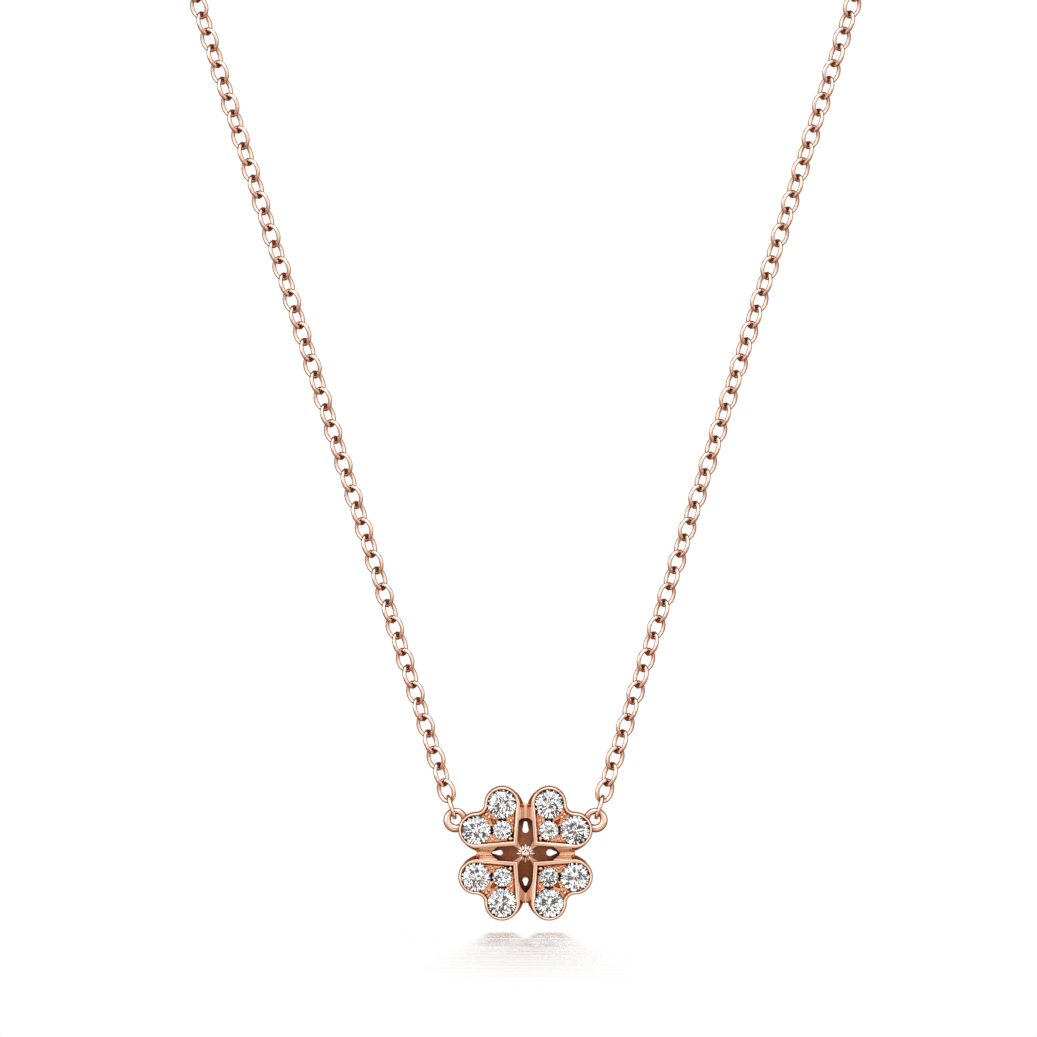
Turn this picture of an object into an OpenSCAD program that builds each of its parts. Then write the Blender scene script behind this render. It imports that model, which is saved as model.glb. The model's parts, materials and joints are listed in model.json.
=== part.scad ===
// Four leaf clover necklace: a stone-set clover fixed between the two ends of a cable chain.
// Millimetres. -Y faces the viewer, +X is to the viewer's right and +Z is up.
// The origin is the middle of the clasp's ring, at the nape.

/* [Hearts] */
// Outer radius of each lobe of a heart
lobe_r = 1.19; // [1.15:0.01:1.3]
// From a lobe's middle to the nearer arm of the cross between the hearts
lobe_near = 1.56; // [1.5:0.01:1.7]
// From a lobe's middle to the farther arm of the cross
lobe_far = 3.3; // [3.15:0.01:3.5]
// From a heart's point to each of the two arms beside it
point_at = 0.55; // [0.5:0.01:0.6]
// Radius of the hollow between the two lobes of a heart
notch_r = 0.38; // [0.25:0.01:0.5]
// Depth of the hearts, from the back to the top of the rim
heart_h = 1.9; // [1.75:0.01:2.2]
// Width of the raised rim round each heart
rim_w = 0.16; // [0.12:0.01:0.17]
// Depth of the stone plate under the top of the rim
rim_h = 0.24; // [0.15:0.01:0.35]
// Radius of the grains of metal raised between the stones
grain_r = 0.13; // [0.08:0.01:0.14]

/* [Stones] */
// Diameter of the two stones in the lobes of a heart
large_d = 1.93; // [1.7:0.01:1.94]
// Diameter of the stone near the point of a heart
small_d = 1.28; // [1:0.01:1.32]
// From the small stone's middle to each of the two arms beside it
small_at = 1.55; // [1.5:0.01:1.58]
// Height of a girdle's top over the stone plate
stone_lift = 0.05; // [0:0.01:0.1]
// Free space round a stone in its seat
seat_gap = 0.02; // [0.01:0.005:0.03]
// Radius of the hole behind a stone, as a share of the stone's own radius
window_share = 0.5; // [0.3:0.05:0.7]

/* [Cut] */
// Table corner's distance from the axis, as a share of the girdle radius
table_share = 0.56; // [0.5:0.01:0.62]
// Slope of the crown's main facets, in degrees
crown_angle = 34.5; // [30:0.5:37]
// Slope of the pavilion's main facets, in degrees
pavilion_angle = 40.75; // [39:0.25:42]
// Thickness of the girdle, as a share of its radius
girdle_share = 0.04; // [0.02:0.01:0.08]

/* [Cross] */
// Height of the cross that joins the hearts
cross_h = 1.15; // [0.9:0.01:1.35]
// From the middle to the outer end of each arm
arm_reach = 3.38; // [3.2:0.01:3.5]
// Height of the web between two hearts at the end of each arm
web_h = 1.5; // [1.3:0.01:1.6]
// Length of that web, from the outer end of the arm inwards
web_len = 0.5; // [0.3:0.01:0.8]
// Radius of the rounded ridge on the outer part of each arm
ridge_r = 0.24; // [0.15:0.01:0.3]
// Length of the pointed hollow in each arm
hollow_len = 2.25; // [1.9:0.01:2.4]
// Width of the pointed hollow in each arm
hollow_w = 0.96; // [0.8:0.01:1.1]
// From the middle to the inner point of each hollow
hollow_from = 0.24; // [0.15:0.01:0.35]
// Thickness of metal under a hollow at its inner point
floor_inner = 0.85; // [0.6:0.01:1]
// Thickness of metal under a hollow at its outer point
floor_outer = 0.3; // [0.2:0.01:0.5]
// Radius of the wide end of the drop-shaped hole in each hollow
drop_r = 0.2; // [0.12:0.01:0.26]
// From the middle to the centre of that wide end
drop_at = 1.53; // [1.4:0.01:1.65]
// From that centre to the hole's outer tip
drop_reach = 0.56; // [0.4:0.01:0.7]
// Radius of the foot of the rayed boss in the middle
boss_foot_r = 0.62; // [0.5:0.01:0.7]
// Radius of the top of the rayed boss
boss_top_r = 0.26; // [0.2:0.01:0.32]
// Height of the boss's top over the back, under its round cap
boss_h = 1.36; // [1.25:0.01:1.5]
// Number of rays on the boss
rays = 16; // [12:2:20]
// Depth of the grooves between the rays: the inner radius as a share of the foot's
ray_share = 0.82; // [0.7:0.01:0.9]

/* [Lugs] */
// From the clover's middle to a lug's middle, sideways
lug_x = 4.66; // [4.6:0.01:4.75]
// From the clover's middle up to a lug's middle
lug_up = 2.19; // [2.05:0.01:2.35]
// From the clover's back to the lugs' middle plane
lug_depth = 0.81; // [0.75:0.01:1]
// Radius of the hole in a lug
lug_hole_r = 0.38; // [0.36:0.01:0.45]
// Thickness of a lug's round bar
lug_bar_d = 0.43; // [0.38:0.01:0.46]

/* [Chain] */
// Thickness of a link's wire
wire_d = 0.22; // [0.18:0.01:0.24]
// Outer width of a link
link_w = 1.3; // [1.2:0.01:1.4]
// From one link's middle to the next one's
pitch = 1.14; // [1.05:0.01:1.3]
// Free space between two linked wires
link_gap = 0.105; // [0.1:0.005:0.13]
// Links made one by one at the front of each side
front_links = 100; // [40:2:110]
// Turn of the links about the chain once it has settled, in degrees
chain_roll = 33; // [20:1:45]
// Links over which the chain turns from the lug's own direction to that
settling_links = 9; // [6:1:14]

/* [Neck loop] */
// Width of the loop at the neck, between the chain's middle lines
neck_w = 92; // [80:1:110]
// Depth of the loop, from the clasp to the hanging strands
neck_d = 80; // [70:1:90]
// Drop from the clasp to the clover's middle
drop = 133; // [125:1:155]
// Lean of each hanging strand from upright, in degrees
strand_lean = 17.5; // [16:0.1:19]
// Length of each strand that hangs straight
straight_run = 98; // [85:1:110]

/* [Clasp] */
// Radius of the clasp's ring, to the middle of its tube
clasp_r = 2.2; // [2:0.05:3]
// Thickness of that tube
clasp_tube_d = 1.1; // [0.9:0.05:1.2]
// Radius of the clasp's eye, to the middle of its bar
eye_r = 0.76; // [0.7:0.01:0.9]
// Thickness of the eye's bar
eye_bar_d = 0.5; // [0.4:0.01:0.55]
// Radius of the end ring, to the middle of its wire
end_ring_r = 1.3; // [1.2:0.05:1.6]
// Thickness of the end ring's wire
end_ring_d = 0.5; // [0.4:0.01:0.6]
// Free space between the clasp and the end ring
clasp_gap = 0.12; // [0.1:0.01:0.2]
// Length of the trigger that stands out of the clasp's ring
trigger_len = 0.9; // [0.6:0.05:1.4]

/* [Hidden] */
HEARTS = ["ne", "nw", "sw", "se"];
SEATS = ["first", "second", "point"];
$fn = 48;
ROSE = [0.86, 0.6, 0.49];
STONE = [0.93, 0.95, 0.97];
OVER = 0.5; // how far a cut runs past what it cuts

// Heights in the clover, over its back
plate_h = heart_h - rim_h;
girdle_h = plate_h + stone_lift;

// Stone seats of one heart: middle and diameter
seat_table = [
  [[lobe_near, lobe_far], large_d],
  [[lobe_far, lobe_near], large_d],
  [[small_at, small_at], small_d]
];

function unit(v) = v / norm(v);
function mix(a, b, t) = a + (b - a) * t;
function smooth(t) = let (u = min(1, max(0, t))) u * u * (3 - 2 * u);
function polar(r, a) = [r * cos(a), r * sin(a)];

// Points of an arc, in steps of about ARC_STEP degrees
ARC_STEP = 7.5;
function arc(c, r, from, to) =
  let (n = ceil(abs(to - from) / ARC_STEP))
  [for (i = [0:n]) c + polar(r, mix(from, to, i / n))];
function bearing(from, to) = atan2(to.y - from.y, to.x - from.x);

// Middle of the hollow between the two lobes a and b of a heart
lobe_a = [lobe_near, lobe_far];
lobe_b = [lobe_far, lobe_near];
notch_at = let (
    sum = lobe_near + lobe_far,
    reach = lobe_r + notch_r,
    f = (sum + sqrt(sum * sum - 2 * (lobe_a * lobe_a - reach * reach))) / 2
  ) [f, f];

// One heart's outline, moved in by inset, between the arms along +X and +Y
function heart_points(inset) =
  let (
    r = lobe_r - inset,
    point = [point_at, point_at],
    side = bearing(point, lobe_a) + asin(lobe_r / norm(lobe_a - point)),
    tip = point + polar(inset / sin(side - 45), 45),
    spread = acos(r / norm(lobe_b - tip)),
    into_b = bearing(lobe_b, tip) + spread,
    out_of_b = bearing(lobe_b, notch_at),
    dip = bearing(notch_at, lobe_b)
  )
  concat(
    [tip],
    arc(lobe_b, r, into_b, out_of_b),
    arc(notch_at, notch_r + inset, dip, -90 - dip - 180),
    arc(lobe_a, r, 90 - out_of_b, 90 - into_b)
  );

module heart_outline(inset = 0) {
  polygon(heart_points(inset));
}

// Pointed outline of the hollow in the arm along +Y
module hollow_outline() {
  half = hollow_w / 2;
  arc_r = ((hollow_len / 2) ^ 2 + half ^ 2) / (2 * half);
  translate([0, hollow_from + hollow_len / 2]) intersection() {
    translate([arc_r - half, 0]) circle(arc_r, $fn = 96);
    translate([half - arc_r, 0]) circle(arc_r, $fn = 96);
  }
}

// Hollow in the arm along +Y, over a floor that falls away from the middle
module hollow() {
  fall = atan2(floor_inner - floor_outer, hollow_len);
  intersection() {
    linear_extrude(heart_h + OVER) hollow_outline();
    translate([-hollow_w, hollow_from, floor_inner]) rotate([-fall, 0, 0])
      translate([0, -hollow_len, 0]) cube([2 * hollow_w, 3 * hollow_len, 2 * heart_h]);
  }
}

// Drop-shaped hole through the floor of the hollow along +Y
module drop_hole() {
  spread = acos(drop_r / drop_reach);
  translate([0, drop_at, -OVER]) linear_extrude(heart_h)
    polygon(concat([[0, drop_reach]], arc([0, 0], drop_r, 90 + spread, 450 - spread)));
}

// Arm of the cross along +Y: its rounded ridge, and the web at its end, whose edges run from the
// arm's end to the lobes at both sides
module arm() {
  half = point_at + rim_w / 2;
  ridge_from = hollow_from + hollow_len / 2;
  end = [0, arm_reach];
  touch = lobe_a + polar(lobe_r, bearing(lobe_a, end) - acos(lobe_r / norm(end - lobe_a)));
  translate([-half, 0, 0]) cube([2 * half, arm_reach - web_len / 2, cross_h]);
  translate([0, ridge_from, cross_h]) rotate([-90, 0, 0])
    cylinder(r = ridge_r, h = arm_reach - web_len / 2 - ridge_from);
  linear_extrude(web_h) for (side = [-1, 1])
    polygon([end, [side * touch.x, touch.y], [side * lobe_a.x, lobe_a.y], end - [0, web_len]]);
}

// Seat of one stone: straight walls over the girdle, a cone under it and a window at the back
module seat(d) {
  r = d / 2 + seat_gap;
  window_r = window_share * d / 2;
  shoulder = girdle_h - girdle_share * d / 2 - seat_gap;
  depth = (r - window_r) * tan(pavilion_angle);
  translate([0, 0, shoulder]) cylinder(r = r, h = heart_h);
  translate([0, 0, shoulder - depth]) cylinder(r1 = window_r, r2 = r, h = depth);
  translate([0, 0, -OVER]) cylinder(r = window_r, h = shoulder - depth + 2 * OVER);
}

// Boss in the middle of the cross, with rays on its slope and a round cap
module boss() {
  from = cross_h / 2;
  cap_r = 0.9 * boss_top_r;
  star = [for (i = [0:2 * rays - 1]) polar(boss_foot_r * (i % 2 == 0 ? 1 : ray_share), i * 180 / rays)];
  intersection() {
    translate([0, 0, from]) cylinder(r1 = boss_foot_r, r2 = boss_top_r, h = boss_h - from);
    linear_extrude(heart_h) polygon(star);
  }
  translate([0, 0, boss_h]) sphere(cap_r);
}

// Grains of one heart, raised from the stone plate: between the three stones, in front of
// the hollow between the lobes, at the point and beside each place where two stones come close
module grains() {
  edge = point_at + rim_w;
  between = small_at + (small_d / 2 + 2 * grain_r) / sqrt(2);
  notch = notch_at.x - (notch_r + rim_w) / sqrt(2) - 1.4 * grain_r;
  close = small_at + (lobe_far - small_at) * small_d / (small_d + large_d);
  for (at = [[between, between], [notch, notch], [edge + 1.6 * grain_r, edge + 1.6 * grain_r],
      [edge + 2 * grain_r, close], [close, edge + 2 * grain_r]])
    translate(concat(at, plate_h)) sphere(grain_r);
}

// Ring at one side of the clover that the chain's first link passes through
module lug() {
  translate([lug_x, lug_up, lug_depth]) rotate_extrude()
    translate([lug_hole_r + lug_bar_d / 2, 0]) circle(d = lug_bar_d);
}

// Everything in metal, lying flat with its back at 0 and its rims up
module clover_flat() {
  difference() {
    union() {
      for (i = [0:3]) rotate(i * 90) {
        linear_extrude(heart_h) heart_outline();
        arm();
      }
      lug();
      mirror([1, 0, 0]) lug();
    }
    for (i = [0:3]) rotate(i * 90) {
      translate([0, 0, plate_h]) linear_extrude(heart_h) heart_outline(rim_w);
      for (s = seat_table) translate(s[0]) seat(s[1]);
      hollow();
      drop_hole();
    }
  }
  boss();
  for (i = [0:3]) rotate(i * 90) grains();
}

// Puts what lies flat in the clover's own frame where the clover hangs
module hang() {
  translate([0, lug_depth - neck_d, -drop]) rotate([90, 0, 0]) children();
}

module clover() {
  color(ROSE) hang() clover_flat();
}

// Round brilliant with 57 facets, girdle top at 0 and table up
module brilliant(d) {
  r = d / 2;
  star_share = (table_share * cos(22.5) + 1) / 2;
  lower_share = 0.22;
  girdle_t = girdle_share * r;
  function crown_z(share) = r * (1 - share) * tan(crown_angle);
  function pavilion_z(share) = -girdle_t - r * (1 - share) * tan(pavilion_angle);
  function ring(share, z, count, start) =
    [for (i = [0:count - 1]) concat(polar(r * share, start + i * 360 / count), z)];
  points = concat(
    ring(table_share, crown_z(table_share), 8, 0),
    ring(star_share, crown_z(star_share * cos(22.5)), 8, 22.5),
    ring(1, 0, 16, 0),
    ring(1, -girdle_t, 16, 0),
    ring(lower_share, pavilion_z(lower_share * cos(22.5)), 8, 22.5),
    [[0, 0, pavilion_z(0)]]
  );
  star = 8;
  upper = 16;
  lower = 32;
  half = 48;
  culet = 56;
  function turn8(i) = (i + 8) % 8;
  function turn16(i) = i % 16;
  faces = concat(
    [[for (i = [7:-1:0]) i]],
    [for (i = [0:7]) [i, turn8(i + 1), star + i]],
    [for (i = [0:7]) [i, star + i, upper + 2 * i, star + turn8(i - 1)]],
    [for (i = [0:7]) [star + i, upper + 2 * i + 1, upper + 2 * i]],
    [for (i = [0:7]) [star + i, upper + turn16(2 * i + 2), upper + 2 * i + 1]],
    [for (i = [0:15]) [lower + i, upper + i, upper + turn16(i + 1), lower + turn16(i + 1)]],
    [for (i = [0:7]) [half + i, lower + 2 * i, lower + 2 * i + 1]],
    [for (i = [0:7]) [half + i, lower + 2 * i + 1, lower + turn16(2 * i + 2)]],
    [for (i = [0:7]) [culet, half + turn8(i - 1), lower + 2 * i, half + i]]
  );
  polyhedron(points, faces);
}

// Stone in seat s of heart h
module stone(h, s) {
  color(STONE) hang() rotate(h * 90) translate(concat(seat_table[s][0], girdle_h)) brilliant(seat_table[s][1]);
}

// Link of the chain, lying along X with its opening facing Z
module link_shape(length) {
  bend_r = (link_w - wire_d) / 2;
  straight = length - link_w;
  for (side = [-1, 1]) {
    translate([side * straight / 2, 0, 0]) rotate(-90 * side)
      rotate_extrude(angle = 180) translate([bend_r, 0]) circle(d = wire_d);
    translate([-straight / 2, side * bend_r, 0]) rotate([0, 90, 0]) cylinder(d = wire_d, h = straight);
  }
}

// Where the chain starts, in the middle of the lug's bar, and where it ends, for the side named 1 or -1
strand_way = [sin(strand_lean), 0, cos(strand_lean)];
eye_x = clasp_r + clasp_tube_d / 2 + eye_r - eye_bar_d / 4;
end_ring_x = clasp_r - clasp_tube_d / 2 - clasp_gap + end_ring_r - end_ring_d / 2;
start_at = [lug_x, -neck_d, lug_up - drop] + strand_way * (lug_hole_r + lug_bar_d / 2);
function end_at(side) = [side < 0 ? eye_x + eye_r : end_ring_x + end_ring_r, 0, 0];
function end_bar_r(side) = (side < 0 ? eye_bar_d : end_ring_d) / 2;

// Bend round the neck: shares of half the loop's width, of its depth and of the height left
bend_table = [
  [0.865, 0.965, 0.37],
  [0.955, 0.86, 0.61],
  [1.000, 0.69, 0.745],
  [0.980, 0.49, 0.83],
  [0.870, 0.27, 0.895],
  [0.620, 0.10, 0.945],
  [0.310, 0.022, 0.985]
];
straight_shares = [0, 0.4, 0.8, 1];

// Chosen points of the route, from the lug to the clasp, as if the side were the right one
function route_points(side) =
  let (top = start_at + strand_way * straight_run)
  concat(
    [for (k = straight_shares) start_at + strand_way * straight_run * k],
    [for (b = bend_table) [b[0] * neck_w / 2, -b[1] * neck_d, top.z * (1 - b[2])]],
    [end_at(side)]
  );

// Smooth curve through those points, as many short steps
STEPS = 16;
function curve_point(p, q, r, s, t) =
  0.5 * (2 * q + (r - p) * t + (2 * p - 5 * q + 4 * r - s) * t * t + (3 * q - p - 3 * r + s) * t * t * t);
function curve(points) =
  let (
    n = len(points),
    before = 2 * points[0] - points[1],
    after = [points[n - 1].x - 10, 0, points[n - 1].z],
    all = concat([before], points, [after])
  )
  concat(
    [for (i = [1:n - 1]) for (k = [0:STEPS - 1]) curve_point(all[i - 1], all[i], all[i + 1], all[i + 2], k / STEPS)],
    [points[n - 1]]
  );
function lengths(path) =
  [for (i = 0, s = 0; i < len(path); i = i + 1, s = i < len(path) ? s + norm(path[i] - path[i - 1]) : s) s];
function ways(path) =
  [for (i = [0:len(path) - 1]) unit(path[min(i + 1, len(path) - 1)] - path[max(i - 1, 0)])];
// Side directions that never twist about the path, beginning with the viewer's
function squares(way) =
  [for (i = 0, n = [0, -1, 0]; i < len(way); i = i + 1, n = i < len(way) ? unit(n - (n * way[i]) * way[i]) : n) n];

// Everything about one side's route, worked out once: points, lengths, ways, side directions
function route(side) =
  let (path = curve(route_points(side)), way = ways(path)) [path, lengths(path), way, squares(way)];
routes = [route(1), route(-1)];
function route_of(side) = routes[side > 0 ? 0 : 1];
function route_len(side) = let (s = route_of(side)[1]) s[len(s) - 1];

// Place on a route at length s: point, way, side direction
function place(side, s) =
  let (
    r = route_of(side),
    i = max([for (k = [0:len(r[1]) - 2]) if (r[1][k] <= s) k]),
    t = (s - r[1][i]) / (r[1][i + 1] - r[1][i]),
    way = unit(mix(r[2][i], r[2][i + 1], t)),
    raw = mix(r[3][i], r[3][i + 1], t)
  )
  [mix(r[0][i], r[0][i + 1], t), way, unit(raw - (raw * way) * way)];

// Links of one side: from the bar that the first one hangs on to the bar that the last one holds
link_len = pitch + 2 * wire_d + link_gap;
function hold(bar_r) = link_len / 2 - wire_d - bar_r - link_gap;
function first_at() = hold(lug_bar_d / 2);
function last_at(side) = route_len(side) - hold(end_bar_r(side));
function link_count(side) = 1 + round((last_at(side) - first_at()) / pitch);
function link_at(side, i) = mix(first_at(), last_at(side), i / (link_count(side) - 1));

// Turn of link i about the chain: square to the one before, eased from the lug's direction to the settled one
function link_roll(i) = 90 * (i + 1) + chain_roll * smooth((i - 1) / settling_links);

module at_place(p) {
  x = p[1];
  z = p[2];
  y = cross(z, x);
  multmatrix([
    [x.x, y.x, z.x, p[0].x],
    [x.y, y.y, z.y, p[0].y],
    [x.z, y.z, z.z, p[0].z]
  ]) children();
}

module chain_front(side) {
  color(ROSE) mirror([side < 0 ? 1 : 0, 0, 0])
    for (i = [0:front_links - 1])
      at_place(place(side, link_at(side, i))) rotate([link_roll(i), 0, 0]) link_shape(link_len);
}

// Plain tube of the chain's own thickness along the rest of its way round the neck
TUBE_SIDES = 8;
RING_STEP = 2.7 * link_w;
module chain_back(side) {
  from = link_at(side, front_links - 1) + link_len / 2 + link_gap;
  to = route_len(side) - end_bar_r(side) - link_gap;
  rings = round((to - from) / RING_STEP);
  tube_r = link_w / 2;
  places = [for (i = [0:rings]) place(side, mix(from, to, i / rings))];
  points = [
    for (p = places) for (k = [0:TUBE_SIDES - 1])
      let (o = polar(tube_r, (k + 0.5) * 360 / TUBE_SIDES)) p[0] + o.x * p[2] + o.y * cross(p[1], p[2])
  ];
  last = rings * TUBE_SIDES;
  faces = concat(
    [[for (k = [0:TUBE_SIDES - 1]) k]],
    [[for (k = [TUBE_SIDES - 1:-1:0]) last + k]],
    [
      for (i = [0:rings - 1]) for (k = [0:TUBE_SIDES - 1])
        let (a = i * TUBE_SIDES + k, b = i * TUBE_SIDES + (k + 1) % TUBE_SIDES)
          [a, a + TUBE_SIDES, b + TUBE_SIDES, b]
    ]
  );
  color(ROSE) mirror([side < 0 ? 1 : 0, 0, 0]) polyhedron(points, faces);
}

module chain_front_left() { chain_front(-1); }
module chain_front_right() { chain_front(1); }
module chain_back_left() { chain_back(-1); }
module chain_back_right() { chain_back(1); }

// Ring, standing up with its opening facing Y
module upright_ring(r, bar_d) {
  rotate([90, 0, 0]) rotate_extrude() translate([r, 0]) circle(d = bar_d);
}

module clasp() {
  color(ROSE) {
    upright_ring(clasp_r, clasp_tube_d);
    translate([-eye_x, 0, 0]) upright_ring(eye_r, eye_bar_d);
    rotate([0, -30, 0]) translate([0, 0, clasp_r]) cylinder(d = eye_bar_d, h = clasp_tube_d / 2 + trigger_len);
  }
}

module end_ring() {
  color(ROSE) translate([end_ring_x, 0, 0]) rotate_extrude() translate([end_ring_r, 0]) circle(d = end_ring_d);
}

clover();
chain_front_left();
chain_front_right();
chain_back_left();
chain_back_right();
clasp();
end_ring();
for (h = [0:3]) for (s = [0:2])
  stone(h, s);
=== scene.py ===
"""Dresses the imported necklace: a rose gold four leaf clover set with brilliants on a fine cable chain.

Lengths in the classes are millimetres. A piece is modelled in millimetres, in the clover's own flat
frame or in the necklace's frame, and its finished mesh is put in place in metres.
"""

import json
import logging
import math
import random
from dataclasses import dataclass, field
from enum import Enum
from typing import Callable, Iterable

import bmesh
import bpy
from mathutils import Matrix, Vector

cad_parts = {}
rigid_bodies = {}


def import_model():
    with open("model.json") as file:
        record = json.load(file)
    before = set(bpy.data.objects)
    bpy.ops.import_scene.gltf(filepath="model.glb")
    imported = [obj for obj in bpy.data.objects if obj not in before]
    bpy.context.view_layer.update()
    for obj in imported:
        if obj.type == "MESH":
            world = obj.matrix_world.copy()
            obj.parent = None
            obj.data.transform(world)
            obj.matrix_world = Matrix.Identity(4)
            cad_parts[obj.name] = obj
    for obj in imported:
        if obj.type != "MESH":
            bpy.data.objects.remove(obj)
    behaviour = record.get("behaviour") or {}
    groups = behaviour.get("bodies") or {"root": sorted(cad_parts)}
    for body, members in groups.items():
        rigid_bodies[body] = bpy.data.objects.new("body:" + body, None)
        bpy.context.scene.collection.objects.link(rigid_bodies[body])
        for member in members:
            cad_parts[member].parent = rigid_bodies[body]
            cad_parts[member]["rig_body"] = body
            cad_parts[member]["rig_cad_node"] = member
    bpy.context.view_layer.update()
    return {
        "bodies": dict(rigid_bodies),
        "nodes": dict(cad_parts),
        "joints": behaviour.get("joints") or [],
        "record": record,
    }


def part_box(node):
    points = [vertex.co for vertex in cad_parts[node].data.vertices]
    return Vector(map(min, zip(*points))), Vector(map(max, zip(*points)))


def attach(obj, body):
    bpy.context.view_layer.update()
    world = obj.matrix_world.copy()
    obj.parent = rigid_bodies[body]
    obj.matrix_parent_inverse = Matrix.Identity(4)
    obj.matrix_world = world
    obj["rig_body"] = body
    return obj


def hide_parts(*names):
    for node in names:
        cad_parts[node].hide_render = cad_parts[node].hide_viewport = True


LOG = logging.getLogger("clover_necklace")
METRES_PER_MM = 0.001
GOLDEN_TURN = 137.5
WHITE = (1.0, 1.0, 1.0, 1.0)
# A face looks straight one way if its normal's share in that way is more than this.
STRAIGHT = 0.99

# Sizes that the clover and the chain share, in millimetres.
NECK_D = 80.0
DROP = 133.0
LUG_X = 4.66
LUG_UP = 2.19
LUG_BAR_D = 0.48

Span = tuple[float, float]


class Body(Enum):
    """The two bodies of the necklace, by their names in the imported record."""

    NECKLACE = "necklace"
    PENDANT = "pendant"


class Slot(Enum):
    """The record's material slots."""

    ROSE_GOLD = "rose_gold"
    STONE = "stone"


class Side(Enum):
    """A side of the necklace as the viewer sees it, with the sign of its X."""

    LEFT = -1
    RIGHT = 1


# Small tools


def linear(hex_colour: str) -> tuple[float, float, float, float]:
    """Turns an sRGB colour into linear light.

    Args:
        hex_colour: A colour such as "#F3D2BC".

    Returns:
        Red, green, blue and an alpha of 1.
    """
    parts = [int(hex_colour[i : i + 2], 16) / 255 for i in (1, 3, 5)]
    light = [c / 12.92 if c <= 0.04045 else ((c + 0.055) / 1.055) ** 2.4 for c in parts]
    return (light[0], light[1], light[2], 1.0)


def add_node(tree: bpy.types.NodeTree, kind: str, settings: dict) -> bpy.types.Node:
    """Adds a node to a tree.

    Args:
        tree: The material's or world's node tree.
        kind: Blender's name for the node type, without "ShaderNode".
        settings: Values by the node's property name, or by a socket's name or number. An output
            socket as the value is linked.

    Returns:
        The new node.
    """
    node = tree.nodes.new("ShaderNode" + kind)
    for name, value in settings.items():
        if isinstance(value, bpy.types.NodeSocket):
            tree.links.new(value, node.inputs[name])
        elif isinstance(name, str) and hasattr(node, name):
            setattr(node, name, value)
        else:
            node.inputs[name].default_value = value
    return node


def new_material(name: str) -> tuple[bpy.types.Material, bpy.types.NodeTree, bpy.types.NodeSocket]:
    """Makes an empty material.

    Args:
        name: The material's name.

    Returns:
        The material, its node tree and the place of each point on the object.
    """
    material = bpy.data.materials.new(name)
    material.use_nodes = True
    tree = material.node_tree
    tree.nodes.clear()
    return material, tree, add_node(tree, "TexCoord", {}).outputs["Object"]


def polar(radius: float, degrees: float) -> Vector:
    """Point at a distance and bearing from the middle."""
    return Vector((radius * math.cos(math.radians(degrees)), radius * math.sin(math.radians(degrees))))


def bearing(start: Vector, end: Vector) -> float:
    """Bearing in degrees from one point to another."""
    return math.degrees(math.atan2(end.y - start.y, end.x - start.x))


def arc(centre: Vector, radius: float, start: float, end: float, step: float = 6.0) -> list[Vector]:
    """Points along an arc.

    Args:
        centre: The arc's centre.
        radius: Its radius.
        start: Bearing of its first point, in degrees.
        end: Bearing of its last point.
        step: Most degrees from one point to the next.

    Returns:
        The points, both ends included.
    """
    count = math.ceil(abs(end - start) / step)
    return [centre + polar(radius, start + (end - start) * i / count) for i in range(count + 1)]


def smooth(share: float) -> float:
    """Eases a share from 0 to 1, with level ends."""
    share = min(1.0, max(0.0, share))
    return share * share * (3 - 2 * share)


def only(obj: bpy.types.Object) -> bpy.types.Object:
    """Makes an object the only selected one, and active.

    Args:
        obj: The object.

    Returns:
        The same object.
    """
    bpy.ops.object.select_all(action="DESELECT")
    obj.select_set(True)
    bpy.context.view_layer.objects.active = obj
    return obj


def added(name: str) -> bpy.types.Object:
    """Names the primitive that was just added, and selects it alone.

    Args:
        name: Its new name.

    Returns:
        The new object.
    """
    obj = bpy.context.object
    obj.name = name
    obj.data.name = name
    return only(obj)


def settled(name: str) -> bpy.types.Object:
    """Names the primitive that was just added, and moves its place and size into its mesh.

    Args:
        name: Its new name.

    Returns:
        The new object.
    """
    obj = added(name)
    bpy.ops.object.transform_apply(location=True)
    return obj


def rotation(degrees: float, axis: str | Vector = "Z") -> Matrix:
    """Turn about an axis through the origin."""
    return Matrix.Rotation(math.radians(degrees), 4, axis)


def edit_all(obj: bpy.types.Object) -> None:
    """Enters edit mode with the whole mesh selected.

    Args:
        obj: The mesh to work on.
    """
    only(obj)
    bpy.ops.object.mode_set(mode="EDIT")
    bpy.ops.mesh.select_all(action="SELECT")


def pick_faces(obj: bpy.types.Object, test: Callable[[bmesh.types.BMFace], bool]) -> None:
    """Enters edit mode with only the faces that pass a test selected.

    Args:
        obj: The mesh to work on.
        test: Says of a face whether it is picked.
    """
    only(obj)
    bpy.ops.object.mode_set(mode="EDIT")
    bpy.ops.mesh.select_mode(type="FACE")
    bpy.ops.mesh.select_all(action="DESELECT")
    shape = bmesh.from_edit_mesh(obj.data)
    for face in shape.faces:
        face.select_set(test(face))
    bmesh.update_edit_mesh(obj.data)


def done(obj: bpy.types.Object) -> bpy.types.Object:
    """Leaves edit mode."""
    bpy.ops.object.mode_set(mode="OBJECT")
    return obj


def faces_up(face: bmesh.types.BMFace) -> bool:
    """Whether a face looks straight up."""
    return face.normal.z > STRAIGHT


def faces_down(face: bmesh.types.BMFace) -> bool:
    """Whether a face looks straight down."""
    return face.normal.z < -STRAIGHT


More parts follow.
